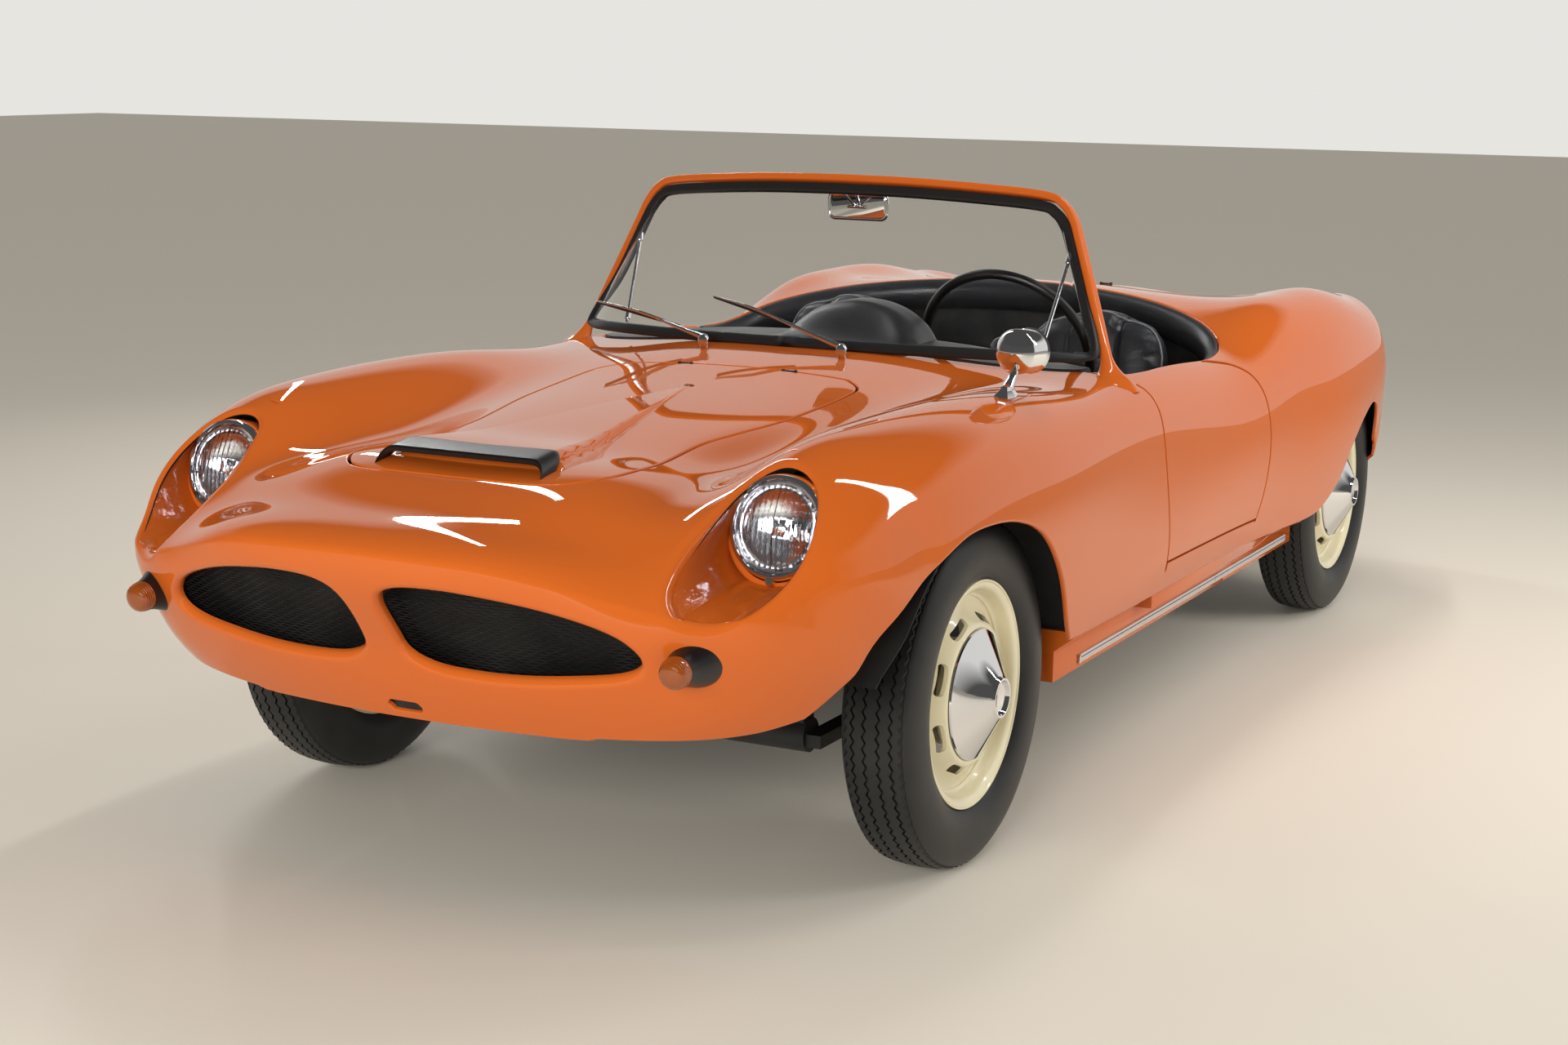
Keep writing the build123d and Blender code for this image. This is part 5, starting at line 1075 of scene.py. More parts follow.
# Wheels, drawn about their axle with the outside towards +X

TYRE_SIDE = [(48.5, 193), (50, 206), (57, 212), (66, 222), (72, 240), (73.2, 256), (71.5, 278), (66.5, 295), (61, 304)]
TREAD_HALF = 58
TREAD_CROWN = [(-58, 308.5), (-50, 314), (-36, 317.4), (-14, 319.6), (0, 320), (14, 319.6), (36, 317.4), (50, 314),
               (58, 308.5)]
GROOVES = [(-36, 4.6, 5.5), (-13, 4.6, 5.5), (13, 4.6, 5.5), (36, 4.6, 5.5)]
ZIGZAG = 3.2
TREAD_TURNS = 180


def tyre():
    """A tyre with a zigzag tread, as one closed ring."""
    line = []
    for x, r in TYRE_SIDE:
        line.append((-x, r, 0.0))
    crown_x, crown_r = zip(*TREAD_CROWN)
    marks = [(-TREAD_HALF, 0, 0.0), (-55, 0, 0.3), (-53.2, 2.6, 0.6), (-51.6, 2.6, 0.6), (-50, 0, 1.0)]
    for x, width, depth in GROOVES:
        marks += [(x - width / 2, 0, 1.0), (x - width / 2 + 0.5, depth, 1.0), (x + width / 2 - 0.5, depth, 1.0),
                  (x + width / 2, 0, 1.0)]
    marks += [(-x, d, z) for x, d, z in reversed(marks[:5])]
    line += [(x, float(np.interp(x, crown_x, crown_r)) - d, z) for x, d, z in marks]
    line += [(x, r, 0.0) for x, r in reversed(TYRE_SIDE)]
    inner = [(40, 193), (30, 197), (0, 199), (-30, 197), (-40, 193)]
    line += [(x, r, 0.0) for x, r in inner]
    rings = []
    for k in range(TREAD_TURNS):
        turn = math.tau * k / TREAD_TURNS
        shift = ZIGZAG if k % 2 else -ZIGZAG
        rings.append([((x + shift * z) / 1000, -r * math.sin(turn) / 1000, r * math.cos(turn) / 1000)
                      for x, r, z in line])
    size = len(line)
    points = [p for ring in rings for p in ring]
    faces = [(k * size + j, k * size + (j + 1) % size, (k + 1) % TREAD_TURNS * size + (j + 1) % size,
              (k + 1) % TREAD_TURNS * size + j) for k in range(TREAD_TURNS) for j in range(size)]
    mesh = bpy.data.meshes.new("tyre")
    mesh.from_pydata(points, [], faces)
    piece = bpy.data.objects.new("tyre", mesh)
    bpy.context.scene.collection.objects.link(piece)
    edited(piece, cleaned)
    return settled(piece, "tyre", tyre_rubber, 40)


AXIS_AT = (0, -FRONT_AXLE_Y, 0)
RIM_FACE = [(57.5, 205.5), (57.5, 208), (53, 208.6), (51.2, 206), (50.2, 198), (48, 193), (41, 191), (35, 189.5),
            (31, 186), (27, 176), (-24, 172), (-32, 190), (-50, 192), (-52, 208), (-57, 208), (-57, 203), (-53, 187),
            (-32, 186), (-24, 168), (16, 167), (19, 160), (29, 149), (49, 128), (50, 123), (43, 114), (22, 100),
            (22, 60), (10, 60), (6, 98), (-40, 98), (-44, 32), (-44, 17.05), (26, 17.05), (26, 100), (47, 111)]
DISC_FACE = [(50, 113.5), (54, 118), (56.5, 123), (55.5, 129), (51, 134.5), (46, 139.5), (41, 144.5), (36, 149.5),
             (31, 155), (27, 161), (24.5, 167), (23.5, 172), (24.5, 177), (28, 181), (32, 184.5), (37, 187),
             (43, 188.5), (49.5, 191), (53.2, 196), (55, 203)]


RIM_SLOTS = 8
SLOT_R = 0.139
SLOT_SIZE = (0.08, 0.058, 0.0145)


def wheel_rim():
    """The cream rim with its eight slots."""
    smooth_face = [tuple(p) for p in eased(DISC_FACE, 3)]
    rim = turned("rim", RIM_FACE + smooth_face + RIM_FACE[:1], AXIS_AT, (1, 0, 0), cream_paint, 120, 32)
    cutters = []
    for k in range(RIM_SLOTS):
        bpy.ops.mesh.primitive_cube_add(size=1, location=(0.04, 0, SLOT_R))
        cutter = bpy.context.object
        cutter.scale = SLOT_SIZE
        only(cutter)
        bpy.ops.object.transform_apply(location=False, rotation=False, scale=True)
        ends = [e.index for e in cutter.data.edges
                if abs(cutter.data.vertices[e.vertices[0]].co.x - cutter.data.vertices[e.vertices[1]].co.x) > 0.01]
        for e in cutter.data.edges:
            e.select = e.index in ends
        bpy.ops.object.mode_set(mode="EDIT")
        bpy.ops.mesh.select_mode(type="EDGE")
        bpy.ops.object.mode_set(mode="OBJECT")
        for e in cutter.data.edges:
            e.select = e.index in ends
        bpy.ops.object.mode_set(mode="EDIT")
        bpy.ops.mesh.bevel(offset=0.0064, segments=5, affect="EDGES")
        bpy.ops.object.mode_set(mode="OBJECT")
        bpy.ops.object.transform_apply(location=True, rotation=True, scale=True)
        cutter.data.transform(Matrix.Rotation(math.tau * (k + 0.5) / RIM_SLOTS, 4, "X"))
        cutters.append(cutter)
    cutter = joined(cutters, "slots")
    only(rim)
    cut = rim.modifiers.new("slots", "BOOLEAN")
    cut.operation, cut.solver, cut.object = "DIFFERENCE", "EXACT", cutter
    bpy.ops.object.modifier_apply(modifier="slots")
    bpy.data.objects.remove(cutter)
    return settled(rim, "rim", cream_paint, 32)


CAP_FACE = [(52, 108), (54, 117.5), (57.5, 119.5), (60.5, 118.5), (62, 115.5), (64, 111.5), (103, 41), (107, 38.2),
            (110, 36.2), (110.4, 34), (109.8, 32), (107, 30.6), (103, 29.6), (101, 28), (101, 0), (98, 0), (96, 26),
            (60, 101), (52, 104)]

tyre_model, rim_model = tyre(), wheel_rim()
cap_model = turned("hub_cap", CAP_FACE, AXIS_AT, (1, 0, 0), bright_chrome, 120, 28)
ring_model = turned("hub_cap_end", [(101.3, 27), (103.5, 25), (103, 20), (101.5, 16), (101.3, 0)], AXIS_AT, (1, 0, 0),
                    bright_chrome, 48, 40)
cap_model = joined([cap_model, ring_model], "hub_cap")
for corner, side, y in (("front_left", 1, 0), ("front_right", -1, 0), ("rear_left", 1, WHEELBASE),
                        ("rear_right", -1, WHEELBASE)):
    place = Matrix.Translation(Vector(metre((side * TRACK / 2, y, WHEEL_R))))
    if side < 0:
        place = place @ Matrix.Rotation(math.pi, 4, "Z")
    for model, kind in ((tyre_model, "tyre"), (rim_model, "rim"), (cap_model, "hub_cap")):
        carried(duplicate(model, f"{kind}_{corner}_piece", place), f"wheel_{corner}", [f"{kind}_{corner}"])
for model in (tyre_model, rim_model, cap_model):
    bpy.data.objects.remove(model)

# Headlamps: bezel ring, reflector, bulb, fluted lens and the clip below

LAMP_TILT = math.radians(15)
LAMP_LINE = (0, -math.cos(LAMP_TILT), math.sin(LAMP_TILT))
lamp_glass = finish("lamp_glass", (0.97, 0.98, 1.0), 0.02, uneven=0.0, Transmission_Weight=1.0, IOR=1.35)
LAMP_AT = (LAMP_X, LAMP_Y, LAMP_Z)


def lamp_lens():
    """The fluted glass, a shallow dome with upright ribs behind."""
    radius, rings, steps = 77, 26, 120
    up = Vector((0, math.sin(LAMP_TILT), math.cos(LAMP_TILT)))
    line, side = Vector(LAMP_LINE), Vector((1, 0, 0))
    points, faces = [], []
    for face in (0, 1):
        for i in range(rings + 1):
            r = radius * i / rings
            for k in range(steps):
                a, b = r * math.cos(math.tau * k / steps), r * math.sin(math.tau * k / steps)
                dome = 17 * (1 - (r / radius) ** 2) ** 0.9 + 5
                if face:
                    flute = 2.2 * abs(math.sin(math.pi * a / 10)) if r < 70 else 0
                    if r < 70 and abs(b) > 24:
                        flute += 1.6 * abs(math.sin(math.pi * b / 15))
                    dome -= 4 + flute
                spot = Vector(LAMP_AT) + side * a + up * b + line * dome
                points.append(spot)
    size = (rings + 1) * steps
    for face in (0, 1):
        for i in range(rings):
            for k in range(steps):
                a, b = i * steps + k, i * steps + (k + 1) % steps
                quad = (a, a + steps, b + steps, b)
                faces.append(tuple(q + face * size for q in (quad if not face else quad[::-1])))
    for k in range(steps):
        a, b = rings * steps + k, rings * steps + (k + 1) % steps
        faces.append((a, a + size, b + size, b))
    piece = made("lamp_lens", points, faces)
    edited(piece, cleaned)
    return settled(piece, "lamp_lens", lamp_glass, 30)


bezel = turned("bezel", [(-22, 83), (-22, 87), (-4, 87.5), (4, 87), (9, 85), (11.5, 81.8), (11, 78.5), (8, 76.6),
                         (3, 76.2), (-2, 77), (-6, 79), (-22, 79), (-22, 83)], LAMP_AT, LAMP_LINE, bright_chrome,
               96, 30)
reflector = turned("reflector", [(2, 77)] + [(2 - 46 * math.cos(a), 77 * math.sin(a))
                                            for a in np.linspace(math.pi / 2, 0, 14)], LAMP_AT, LAMP_LINE,
                   bright_reflector, 64, 60)
bulb = turned("bulb", [(-40, 0), (-40, 12), (-28, 12), (-27, 16), (-8, 17), (-2, 14), (2, 8), (3, 0)], LAMP_AT,
              LAMP_LINE, bright_chrome, 32, 40)
shelf_at = np.array(LAMP_AT) - np.array([0, math.sin(LAMP_TILT), math.cos(LAMP_TILT)]) * 6
shelf = turned("shelf", [(-1, 84), (-1, 92), (-3, 94.5), (-70, 99), (-70, 94), (-6, 91), (-6, 84), (-1, 84)],
               shelf_at, LAMP_LINE, orange_paint, 96, 30)
housing = turned("housing", [(-22, 0), (-60, 0), (-58, 40), (-40, 76), (-22, 86.5)], LAMP_AT, LAMP_LINE, chassis_black,
                 64, 40)
clip_at = np.array(LAMP_AT) + np.array([0, math.sin(LAMP_TILT), math.cos(LAMP_TILT)]) * -88 + np.array(LAMP_LINE) * 6
clip = turned("clip", [(-10, 0), (-10, 8), (3, 8), (5, 6.5), (5, 2.2), (3.6, 2.0), (3.6, 0)], clip_at, LAMP_LINE,
              bright_chrome, 24, 30)
tab = block("clip_tab", clip_at + [-7, -2, -7], clip_at + [7, 9, 12], bright_chrome, 2)
bowls = joined([bezel, clip, tab], "headlamp_bezels")
inner = joined([reflector, bulb], "headlamp_reflectors")
glasses = lamp_lens()
for piece, name, nodes in ((bowls, "headlamp_bezel", ["headlamp_bowls"]), (inner, "headlamp_reflector", []),
                           (glasses, "headlamp_glass", ["headlamp_lenses"]), (housing, "headlamp_housing", []),
                           (shelf, "headlamp_shelf", [])):
    paired(piece, name + "s", nodes)

# Grilles: expanded mesh behind the two openings

skin_points = surface(whole["uv"])
skin_tree = BVHTree.FromPolygons([tuple(p) for p in skin_points], [tuple(int(i) for i in t) for t in whole["tri"]])


def skin_front(x, z):
    """Where the nose lies ahead of a point, as its distance behind the front axle."""
    hit = skin_tree.ray_cast(Vector((x, -2000, z)), Vector((0, 1, 0)))
    return hit[0].y if hit[0] is not None else None


MESH_LONG, MESH_HIGH = 24, 5.6
MESH_BACK = 30
GRILLE_EDGE = eased(GRILLE + GRILLE[:1])[:-1]


def grille_mesh():
    """Rows of zigzag strands that meet in long diamonds, behind the left opening."""
    points, faces = [], []
    low, high = GRILLE_EDGE.min(0), GRILLE_EDGE.max(0)
    rows = np.arange(low[1] - 6, high[1] + 6, MESH_HIGH)
    steps = np.arange(math.floor((low[0] - 12) / (MESH_LONG / 2)), math.ceil((high[0] + 14) / (MESH_LONG / 2)) + 1)
    for k, z in enumerate(rows):
        run = []
        for s in steps:
            up = (s + k) % 2
            x = s * MESH_LONG / 2
            h = z + (MESH_HIGH * 0.46 if up else -MESH_HIGH * 0.46) * 0.5
            y = skin_front(min(max(x, 14), 484), min(max(h, 462), 588))
            inside = outline_distance(np.array([[x, h]]), GRILLE_EDGE)[0] < 11
            run.append((x, y + MESH_BACK, h) if y is not None and inside else None)
        for a, b in zip(run, run[1:]):
            if a is None or b is None:
                continue
            base = len(points)
            for p in (a, b):
                for dy, dz in ((-1.5, 0.15), (0.0, 0.7), (1.5, -0.15), (0.0, -0.7)):
                    points.append((p[0], p[1] + dy, p[2] + dz))
            for i in range(4):
                j = (i + 1) % 4
                faces.append((base + i, base + 4 + i, base + 4 + j, base + j))
            faces += [(base, base + 1, base + 2, base + 3), (base + 7, base + 6, base + 5, base + 4)]
    piece = made("grille_mesh", points, faces)
    edited(piece, lambda: bpy.ops.mesh.normals_make_consistent(inside=False))
    return settled(piece, "grille_mesh", grille_black, 30)


def grille_backing():
    """A dark pan behind the mesh, so that the nose isn't seen through; its black is partly painted shade."""
    ring = GRILLE_EDGE[::2]
    middle = ring.mean(0)
    grown = middle + (ring - middle) * 1.05
    points, count = [], len(ring)
    for depth in (20, 75):
        for x, z in grown:
            y = skin_front(min(max(x, 14), 484), min(max(z, 462), 588))
            points.append((x, y + depth, z))
    faces = [(i, (i + 1) % count, count + (i + 1) % count, count + i) for i in range(count)]
    faces.append(tuple(range(count, 2 * count)))
    piece = made("grille_shade_pan", points, faces)
    only(piece)
    thick = piece.modifiers.new("thick", "SOLIDIFY")
    thick.thickness, thick.offset = 0.002, 0
    bpy.ops.object.modifier_apply(modifier="thick")
    return settled(piece, "grille_shade_pan", underbody_black, 30)


strands = grille_mesh()
pan = grille_backing()
paired(strands, "grille_meshes", ["grilles"])
paired(pan, "grille_shade_pans")

# Indicators: a black cone that grows out of the nose, with a ribbed amber lens

INDICATOR_BASE, INDICATOR_NECK = np.array((534.4, -722, 516.5)), np.array((534.4, -769, 511.5))
indicator_line = unit((INDICATOR_NECK - INDICATOR_BASE)[None])[0]
reach = float(np.linalg.norm(INDICATOR_NECK - INDICATOR_BASE))
cone = turned("indicator_cone", [(-44, 0), (-44, 50), (-12, 46), (2, 42), (14, 37), (28, 31.5), (39, 28),
                                 (reach - 3, 27), (reach, 26.4), (reach + 1, 24), (reach + 1, 0)],
              INDICATOR_BASE, indicator_line, gloss_black, 64, 50)
lens = turned("indicator_lens", [(reach - 3, 0), (reach - 3, 25.5), (reach + 2, 25.8), (reach + 12, 25),
                                 (reach + 20, 23), (reach + 24, 20), (reach + 26.5, 15), (reach + 27.6, 8),
                                 (reach + 28, 0)],
              INDICATOR_BASE, indicator_line, amber_plastic, 72, 40)
ribs = [turned(f"indicator_rib_{k}", [(reach + at - 1.1, r - 1), (reach + at, r + 0.7), (reach + at + 1.1, r - 1),
                                      (reach + at - 1.1, r - 1)], INDICATOR_BASE, indicator_line, amber_plastic, 72, 40)
        for k, (at, r) in enumerate(((3, 25.8), (7.5, 25.5), (12, 25), (16.5, 24), (20.5, 22.4)))]
lens = joined([lens] + ribs, "indicator_lens")
paired(cone, "indicator_cones", ["indicator_housings"])
paired(lens, "indicator_lens_pair", ["indicator_lenses"])

# Tail lamps: round red lenses in chrome rings

TAIL_LAMP = (520, WHEELBASE + 600, 590)
ring = turned("tail_ring", [(-60, 34), (-60, 38), (4, 39), (10, 38), (12, 35), (10, 32), (2, 32), (-60, 34)], TAIL_LAMP,
              (0, 1, 0), bright_chrome, 64, 40)
red = turned("tail_lens", [(-4, 0), (-4, 33), (6, 33), (12, 30), (16, 22), (18.5, 12), (19, 0)], TAIL_LAMP, (0, 1, 0),
             red_plastic, 64, 40)
paired(ring, "tail_lamp_rings")
paired(red, "tail_lamp_lenses", ["tail_lamps"])

# A black pocket behind the towing slot: painted shade, standing for the dark hollow inside the slot

slot_z = TOW_SLOT[2]
pocket_y = max(skin_front(x, slot_z + dz) for x in (0, 40) for dz in (-11, 11)) + 5
pocket = block("tow_slot_shade_pocket", (-40, pocket_y, slot_z - 11), (40, pocket_y + 30, slot_z + 20), black_trim, 1)
carried(pocket, "body")

# The scoop at the front of the raised triangle

SCOOP_HALF, SCOOP_FLAT = 168, 140
SCOOP_FRONT, SCOOP_BACK = -573, -512
SCOOP_TOP, SCOOP_DROP = 782, 27


def skin_height(x, y):
    """Height of the skin over a point in plan."""
    hit = skin_tree.ray_cast(Vector((x, y, 1400)), Vector((0, 0, -1)))
    return hit[0].z if hit[0] is not None else None


def scoop():
    """A black hood over the mouth, whose ends turn down to the bonnet in a round bend."""
    points = []
    turns = np.radians(np.linspace(90, 9, 10))
    ends = [(SCOOP_FLAT + (SCOOP_HALF - SCOOP_FLAT) * math.sin(a), 1 - math.cos(a)) for a in turns]
    places = [(-x, c) for x, c in ends] + [(x, 0) for x in np.linspace(-132, 132, 17)] + ends[::-1]
    for x, c in places:
        front, back = SCOOP_FRONT - 19 * c, SCOOP_BACK - 46 * c
        lip = SCOOP_TOP - SCOOP_DROP * c
        rear = skin_height(min(abs(x), 132), SCOOP_BACK + 2) + 1.5 - (SCOOP_DROP - 1) * c
        profile = [(back + 8, rear - 7), (back + 8, rear - 1.5), (back + 4, rear), (back - 6, rear + 0.5),
                   (front + 12, lip + 1.5), (front + 3, lip + 0.5), (front, lip - 3), (front + 1, lip - 10),
                   (front + 9, lip - 10)]
        points += [(x, y, z) for y, z in profile]
    hood = made("scoop", points, ring_faces(len(places), len(profile)))
    edited(hood, cleaned)
    return settled(hood, "scoop", gloss_black, 40)


carried(scoop(), "bonnet", ["bonnet_scoop"])


# Wheel wells, door pillars and sills


def shell_piece(name, points, faces, material, thick, angle=35):
    """A thin wall from an open mesh behind the front axle."""
    piece = made(name, points, faces)
    edited(piece, cleaned)
    only(piece)
    wall = piece.modifiers.new("wall", "SOLIDIFY")
    wall.thickness, wall.offset = thick / 1000, 0
    bpy.ops.object.modifier_apply(modifier="wall")
    return settled(piece, name, material, angle)


def wheel_well(name, axle_y, radius, inner_x, start, end):
    """The arched wall over the left wheel and its flat inner wall."""
    points, faces = [], []
    turns = np.radians(np.linspace(start, end, 49))
    for a in turns:
        y, z = axle_y - radius * math.cos(a), WHEEL_R + radius * math.sin(a)
        hit = skin_tree.ray_cast(Vector((inner_x + 15, y, z)), Vector((1, 0, 0)))
        outer = hit[0].x - WALL - 1 if hit[0] is not None else 690
        for x in np.linspace(inner_x, max(outer, inner_x + 20), 8):
            points.append((x, y, z))
        points.append((inner_x, axle_y - radius * 0.5 * math.cos(a), WHEEL_R + radius * 0.5 * math.sin(a)))
    for i in range(len(turns) - 1):
        for j in range(7):
            faces.append((i * 9 + j, i * 9 + j + 1, (i + 1) * 9 + j + 1, (i + 1) * 9 + j))
        faces.append((i * 9, (i + 1) * 9, (i + 1) * 9 + 8, i * 9 + 8))
    return shell_piece(name, points, faces, underbody_black, 3)


wells = []
for label, *shape in (("front", 0, 411, 400, 14, 175), ("rear", WHEELBASE, 361, 543, 2, 172)):
    well = wheel_well(f"{label}_well", *shape)
    wells += [well, duplicate(well, f"{label}_well_right", MIRROR)]
carried(joined(wells, "wheel_wells"), "body")


def section_place(y):
    """The place along the skin of a section between the axles."""
    low, high = ALONG[9], ALONG[18]
    for _ in range(30):
        middle = (low + high) / 2
        if surface(np.array([[ACROSS[2], middle]]))[0, 1] < y:
            low = middle
        else:
            high = middle
    return low


def section_line(y, inset, count=40):
    """Points of the left half of the skin at a section, moved inwards."""
    uv = np.stack([np.linspace(ACROSS[0], ACROSS[6], count), np.full(count, section_place(y))], 1)
    return surface(uv) - outward(uv) * inset


pillars = []
for label, y in (("front", 882), ("rear", 1627)):
    line = [p for p in section_line(y, WALL - 1) if p[0] > 600 and p[2] > 335]
    ring = [(x, y, z) for x, _, z in line] + [(596, y, line[-1][2] - 4), (596, y, 335)]
    pillar = shell_piece(f"{label}_pillar", ring, [tuple(range(len(ring)))], orange_paint, 4)
    pillars += [pillar, duplicate(pillar, f"{label}_pillar_right", MIRROR)]
carried(joined(pillars, "door_pillars"), "body")

SILL_PLATE = (655, 690, 433, 2060, 240, 304)
NOTCH = (1500, 16, 7)
sills = []
x0, x1, y0, y1, z0, z1 = SILL_PLATE
outline = [(y0, z0), (NOTCH[0], z0), (NOTCH[0], z0 + NOTCH[2]), (NOTCH[0] + NOTCH[1], z0 + NOTCH[2]),
           (NOTCH[0] + NOTCH[1], z0), (y1, z0), (y1, z1), (y0, z1)]
count = len(outline)
plate = made("sill_plate", [(x, y, z) for x in (x0, x1) for y, z in outline],
             [tuple(range(count)), tuple(range(count, 2 * count))] +
             [(i, (i + 1) % count, count + (i + 1) % count, count + i) for i in range(count)])
edited(plate, cleaned, lambda: bpy.ops.mesh.bevel(offset=0.0018, segments=2, affect="EDGES"))
plate = settled(plate, "sill_plate", orange_paint)
step = block("sill_step", (640, 898, 300), (728, 1616, 386), orange_paint, 3)
rings = []
for y in np.linspace(400, 1985, 34):
    edge = float(np.interp(y, [364, 824, 1402, 1944, 2000], [346, 336, 325, 313, 310]))
    hit = skin_tree.ray_cast(Vector((1200, y, edge + 3)), Vector((-1, 0, 0)))
    x = hit[0].x - 4
    rings.append([(x, y, edge + 9), (x, y, edge + 1), (x - 6, y, edge - 5), (691, y, 303), (664, y, 303),
                  (664, y, edge + 9)])
rings = np.array(rings)
closing = made("sill_closing", rings.reshape(-1, 3), ring_faces(*rings.shape[:2]))
edited(closing, cleaned)
closing = settled(closing, "sill_closing", orange_paint)
for piece in (plate, step, closing):
    sills += [piece, duplicate(piece, piece.name + "_right", MIRROR)]
carried(joined(sills, "sill_plates"), "body", ["sills"])

STRIP_Z, STRIP_X = 259, 690
trim_profile = [(-9, 0), (-9, 3), (-7.5, 4.6), (2.2, 5.6), (3.0, 4.6), (4.0, 4.6), (4.8, 5.6), (7.5, 4.6),
                (9, 3), (9, 0)]
strips, lines = [], []
for start, end in ((569, 1439), (1441, 2002)):
    centres = [(STRIP_X, y, STRIP_Z) for y in (start, start + 4, end - 4, end)]
    bar = strip_along("sill_strip", centres, [(0, 0, 1)] * 4, [(1, 0, 0)] * 4, trim_profile, trim_aluminium)
    dark = block("sill_line", (STRIP_X + 4, start + 3, STRIP_Z + 2.9), (STRIP_X + 5.0, end - 3, STRIP_Z + 4.1),
                 black_rubber, 0)
    strips += [bar, duplicate(bar, "strip_right", MIRROR)]
    lines += [dark, duplicate(dark, "line_right", MIRROR)]
cap = block("strip_end", (STRIP_X, 565, STRIP_Z - 9.5), (STRIP_X + 6.5, 573, STRIP_Z + 9.5), trim_aluminium, 2)
strips += [cap, duplicate(cap, "cap_right", MIRROR)]
carried(joined(strips, "sill_strips"), "body", ["sill_trims"])
carried(joined(lines, "sill_strip_lines"), "body")

# Door linings, behind the outer skin of each door
for side, label in ((1, "left"), (-1, "right")):
    sheet = trim(trim(copied(whole_sheet(26, 26)), beyond(1, 840)), beyond(1, 1630, -1))
    trim(sheet, beyond(0, side * 560, side))
    trim(sheet, flipped(door_shape, 12))
    trim(sheet, wider(cockpit, 4))
    base, n = surface(sheet["uv"]), outward(sheet["uv"])
    count, tri = len(base), sheet["tri"]
    edges = tri[:, [0, 1, 1, 2, 2, 0]].reshape(-1, 2)
    _, first, times = np.unique(np.sort(edges, axis=1), axis=0, return_index=True, return_counts=True)
    rim = edges[first[times == 1]]
    points = np.concatenate([base - n * 7, base - n * 50])
    faces = [tuple(t) for t in tri] + [tuple(t[::-1] + count) for t in tri] \
        + [(b, a, a + count, b + count) for a, b in rim]
    lining = made("lining", points, [tuple(int(i) for i in f) for f in faces])
    carried(settled(lining, f"door_{label}_lining", black_trim, 40), f"door_{label}")

# Dashboard: padded top, instrument hood and two dials

DASH_LINE = eased([(0, 644), (60, 646), (200, 659), (400, 716), (520, 776), (580, 830)], 6)
HOOD = (75, 150, 78)
DASH_BACK = 892
DASH_ROLL = 24
DIAL_Z, DIAL_R = 838, 42


def dash_height(x, y):
    """Height of the padded top over a point in plan."""
    top = skin_height(min(max(x, -570), 570), min(y, 880)) + 3
    u = (x - HOOD[0]) / HOOD[1]
    if abs(u) < 1:
        t = min(max((y - 688) / 120, 0), 1)
        top += HOOD[2] * (1 - u * u) ** 0.62 * t * t * (3 - 2 * t)
    return top


points = []
places = np.linspace(-578, 578, 97)
for x in places:
    start = float(np.interp(abs(x), DASH_LINE[:, 0], DASH_LINE[:, 1])) + 4
    tops = [(y, dash_height(x, y)) for y in np.linspace(start, DASH_BACK - DASH_ROLL, 14)]
    back_top = dash_height(x, DASH_BACK - DASH_ROLL)
    roll = [(DASH_BACK - DASH_ROLL * (1 - math.sin(a)), back_top - DASH_ROLL * (1 - math.cos(a)))
            for a in np.linspace(0.3, math.pi / 2, 5)]
    profile = [(start, tops[0][1] - 14)] + tops + roll + [(DASH_BACK, 770), (DASH_BACK - 8, 760), (start + 6, 772)]
    points += [(x, y, z) for y, z in profile]
dash = made("dash_pad", points, ring_faces(len(places), len(profile)))
edited(dash, cleaned)
dash = settled(dash, "dash_pad", black_leather, 50)
carried(dash, "body", ["dashboard"])
dials = []
dial_face = finish("dial_face", (0.015, 0.015, 0.015), 0.35)
needle_white = finish("needle_white", (0.8, 0.8, 0.78), 0.4)
for x in (20, 128):
    r, spot = DIAL_R, (x, DASH_BACK + 1, DIAL_Z)
    dials.append(turned("dial_ring", [(-4, r - 3), (-4, r + 3), (4, r + 2), (6, r), (4, r - 4), (-4, r - 3)], spot,
                        (0, 1, 0), bright_chrome, 48))
    dials.append(turned("dial_disc", [(-2, 0), (-2, r), (1, r - 2), (1, 0)], spot, (0, 1, 0), dial_face, 48))
    for k in range(9):
        a = math.radians(-225 + 270 * k / 8)
        tick = block("tick", (x - 1, DASH_BACK + 1.6, DIAL_Z + r - 13), (x + 1, DASH_BACK + 2.6, DIAL_Z + r - 6),
                     needle_white, 0)
        centre = Vector(metre(spot))
        tick.data.transform(Matrix.Translation(centre) @ Matrix.Rotation(a + math.pi / 2, 4, "Y")
                            @ Matrix.Translation(-centre))
        dials.append(tick)
    dials.append(tube("needle", [(x, DASH_BACK + 3, DIAL_Z), (x - 18, DASH_BACK + 3, DIAL_Z - 14)], 1, needle_white,
                      smooth=False))
carried(joined(dials, "dashboard_dials"), "body")

# Steering wheel

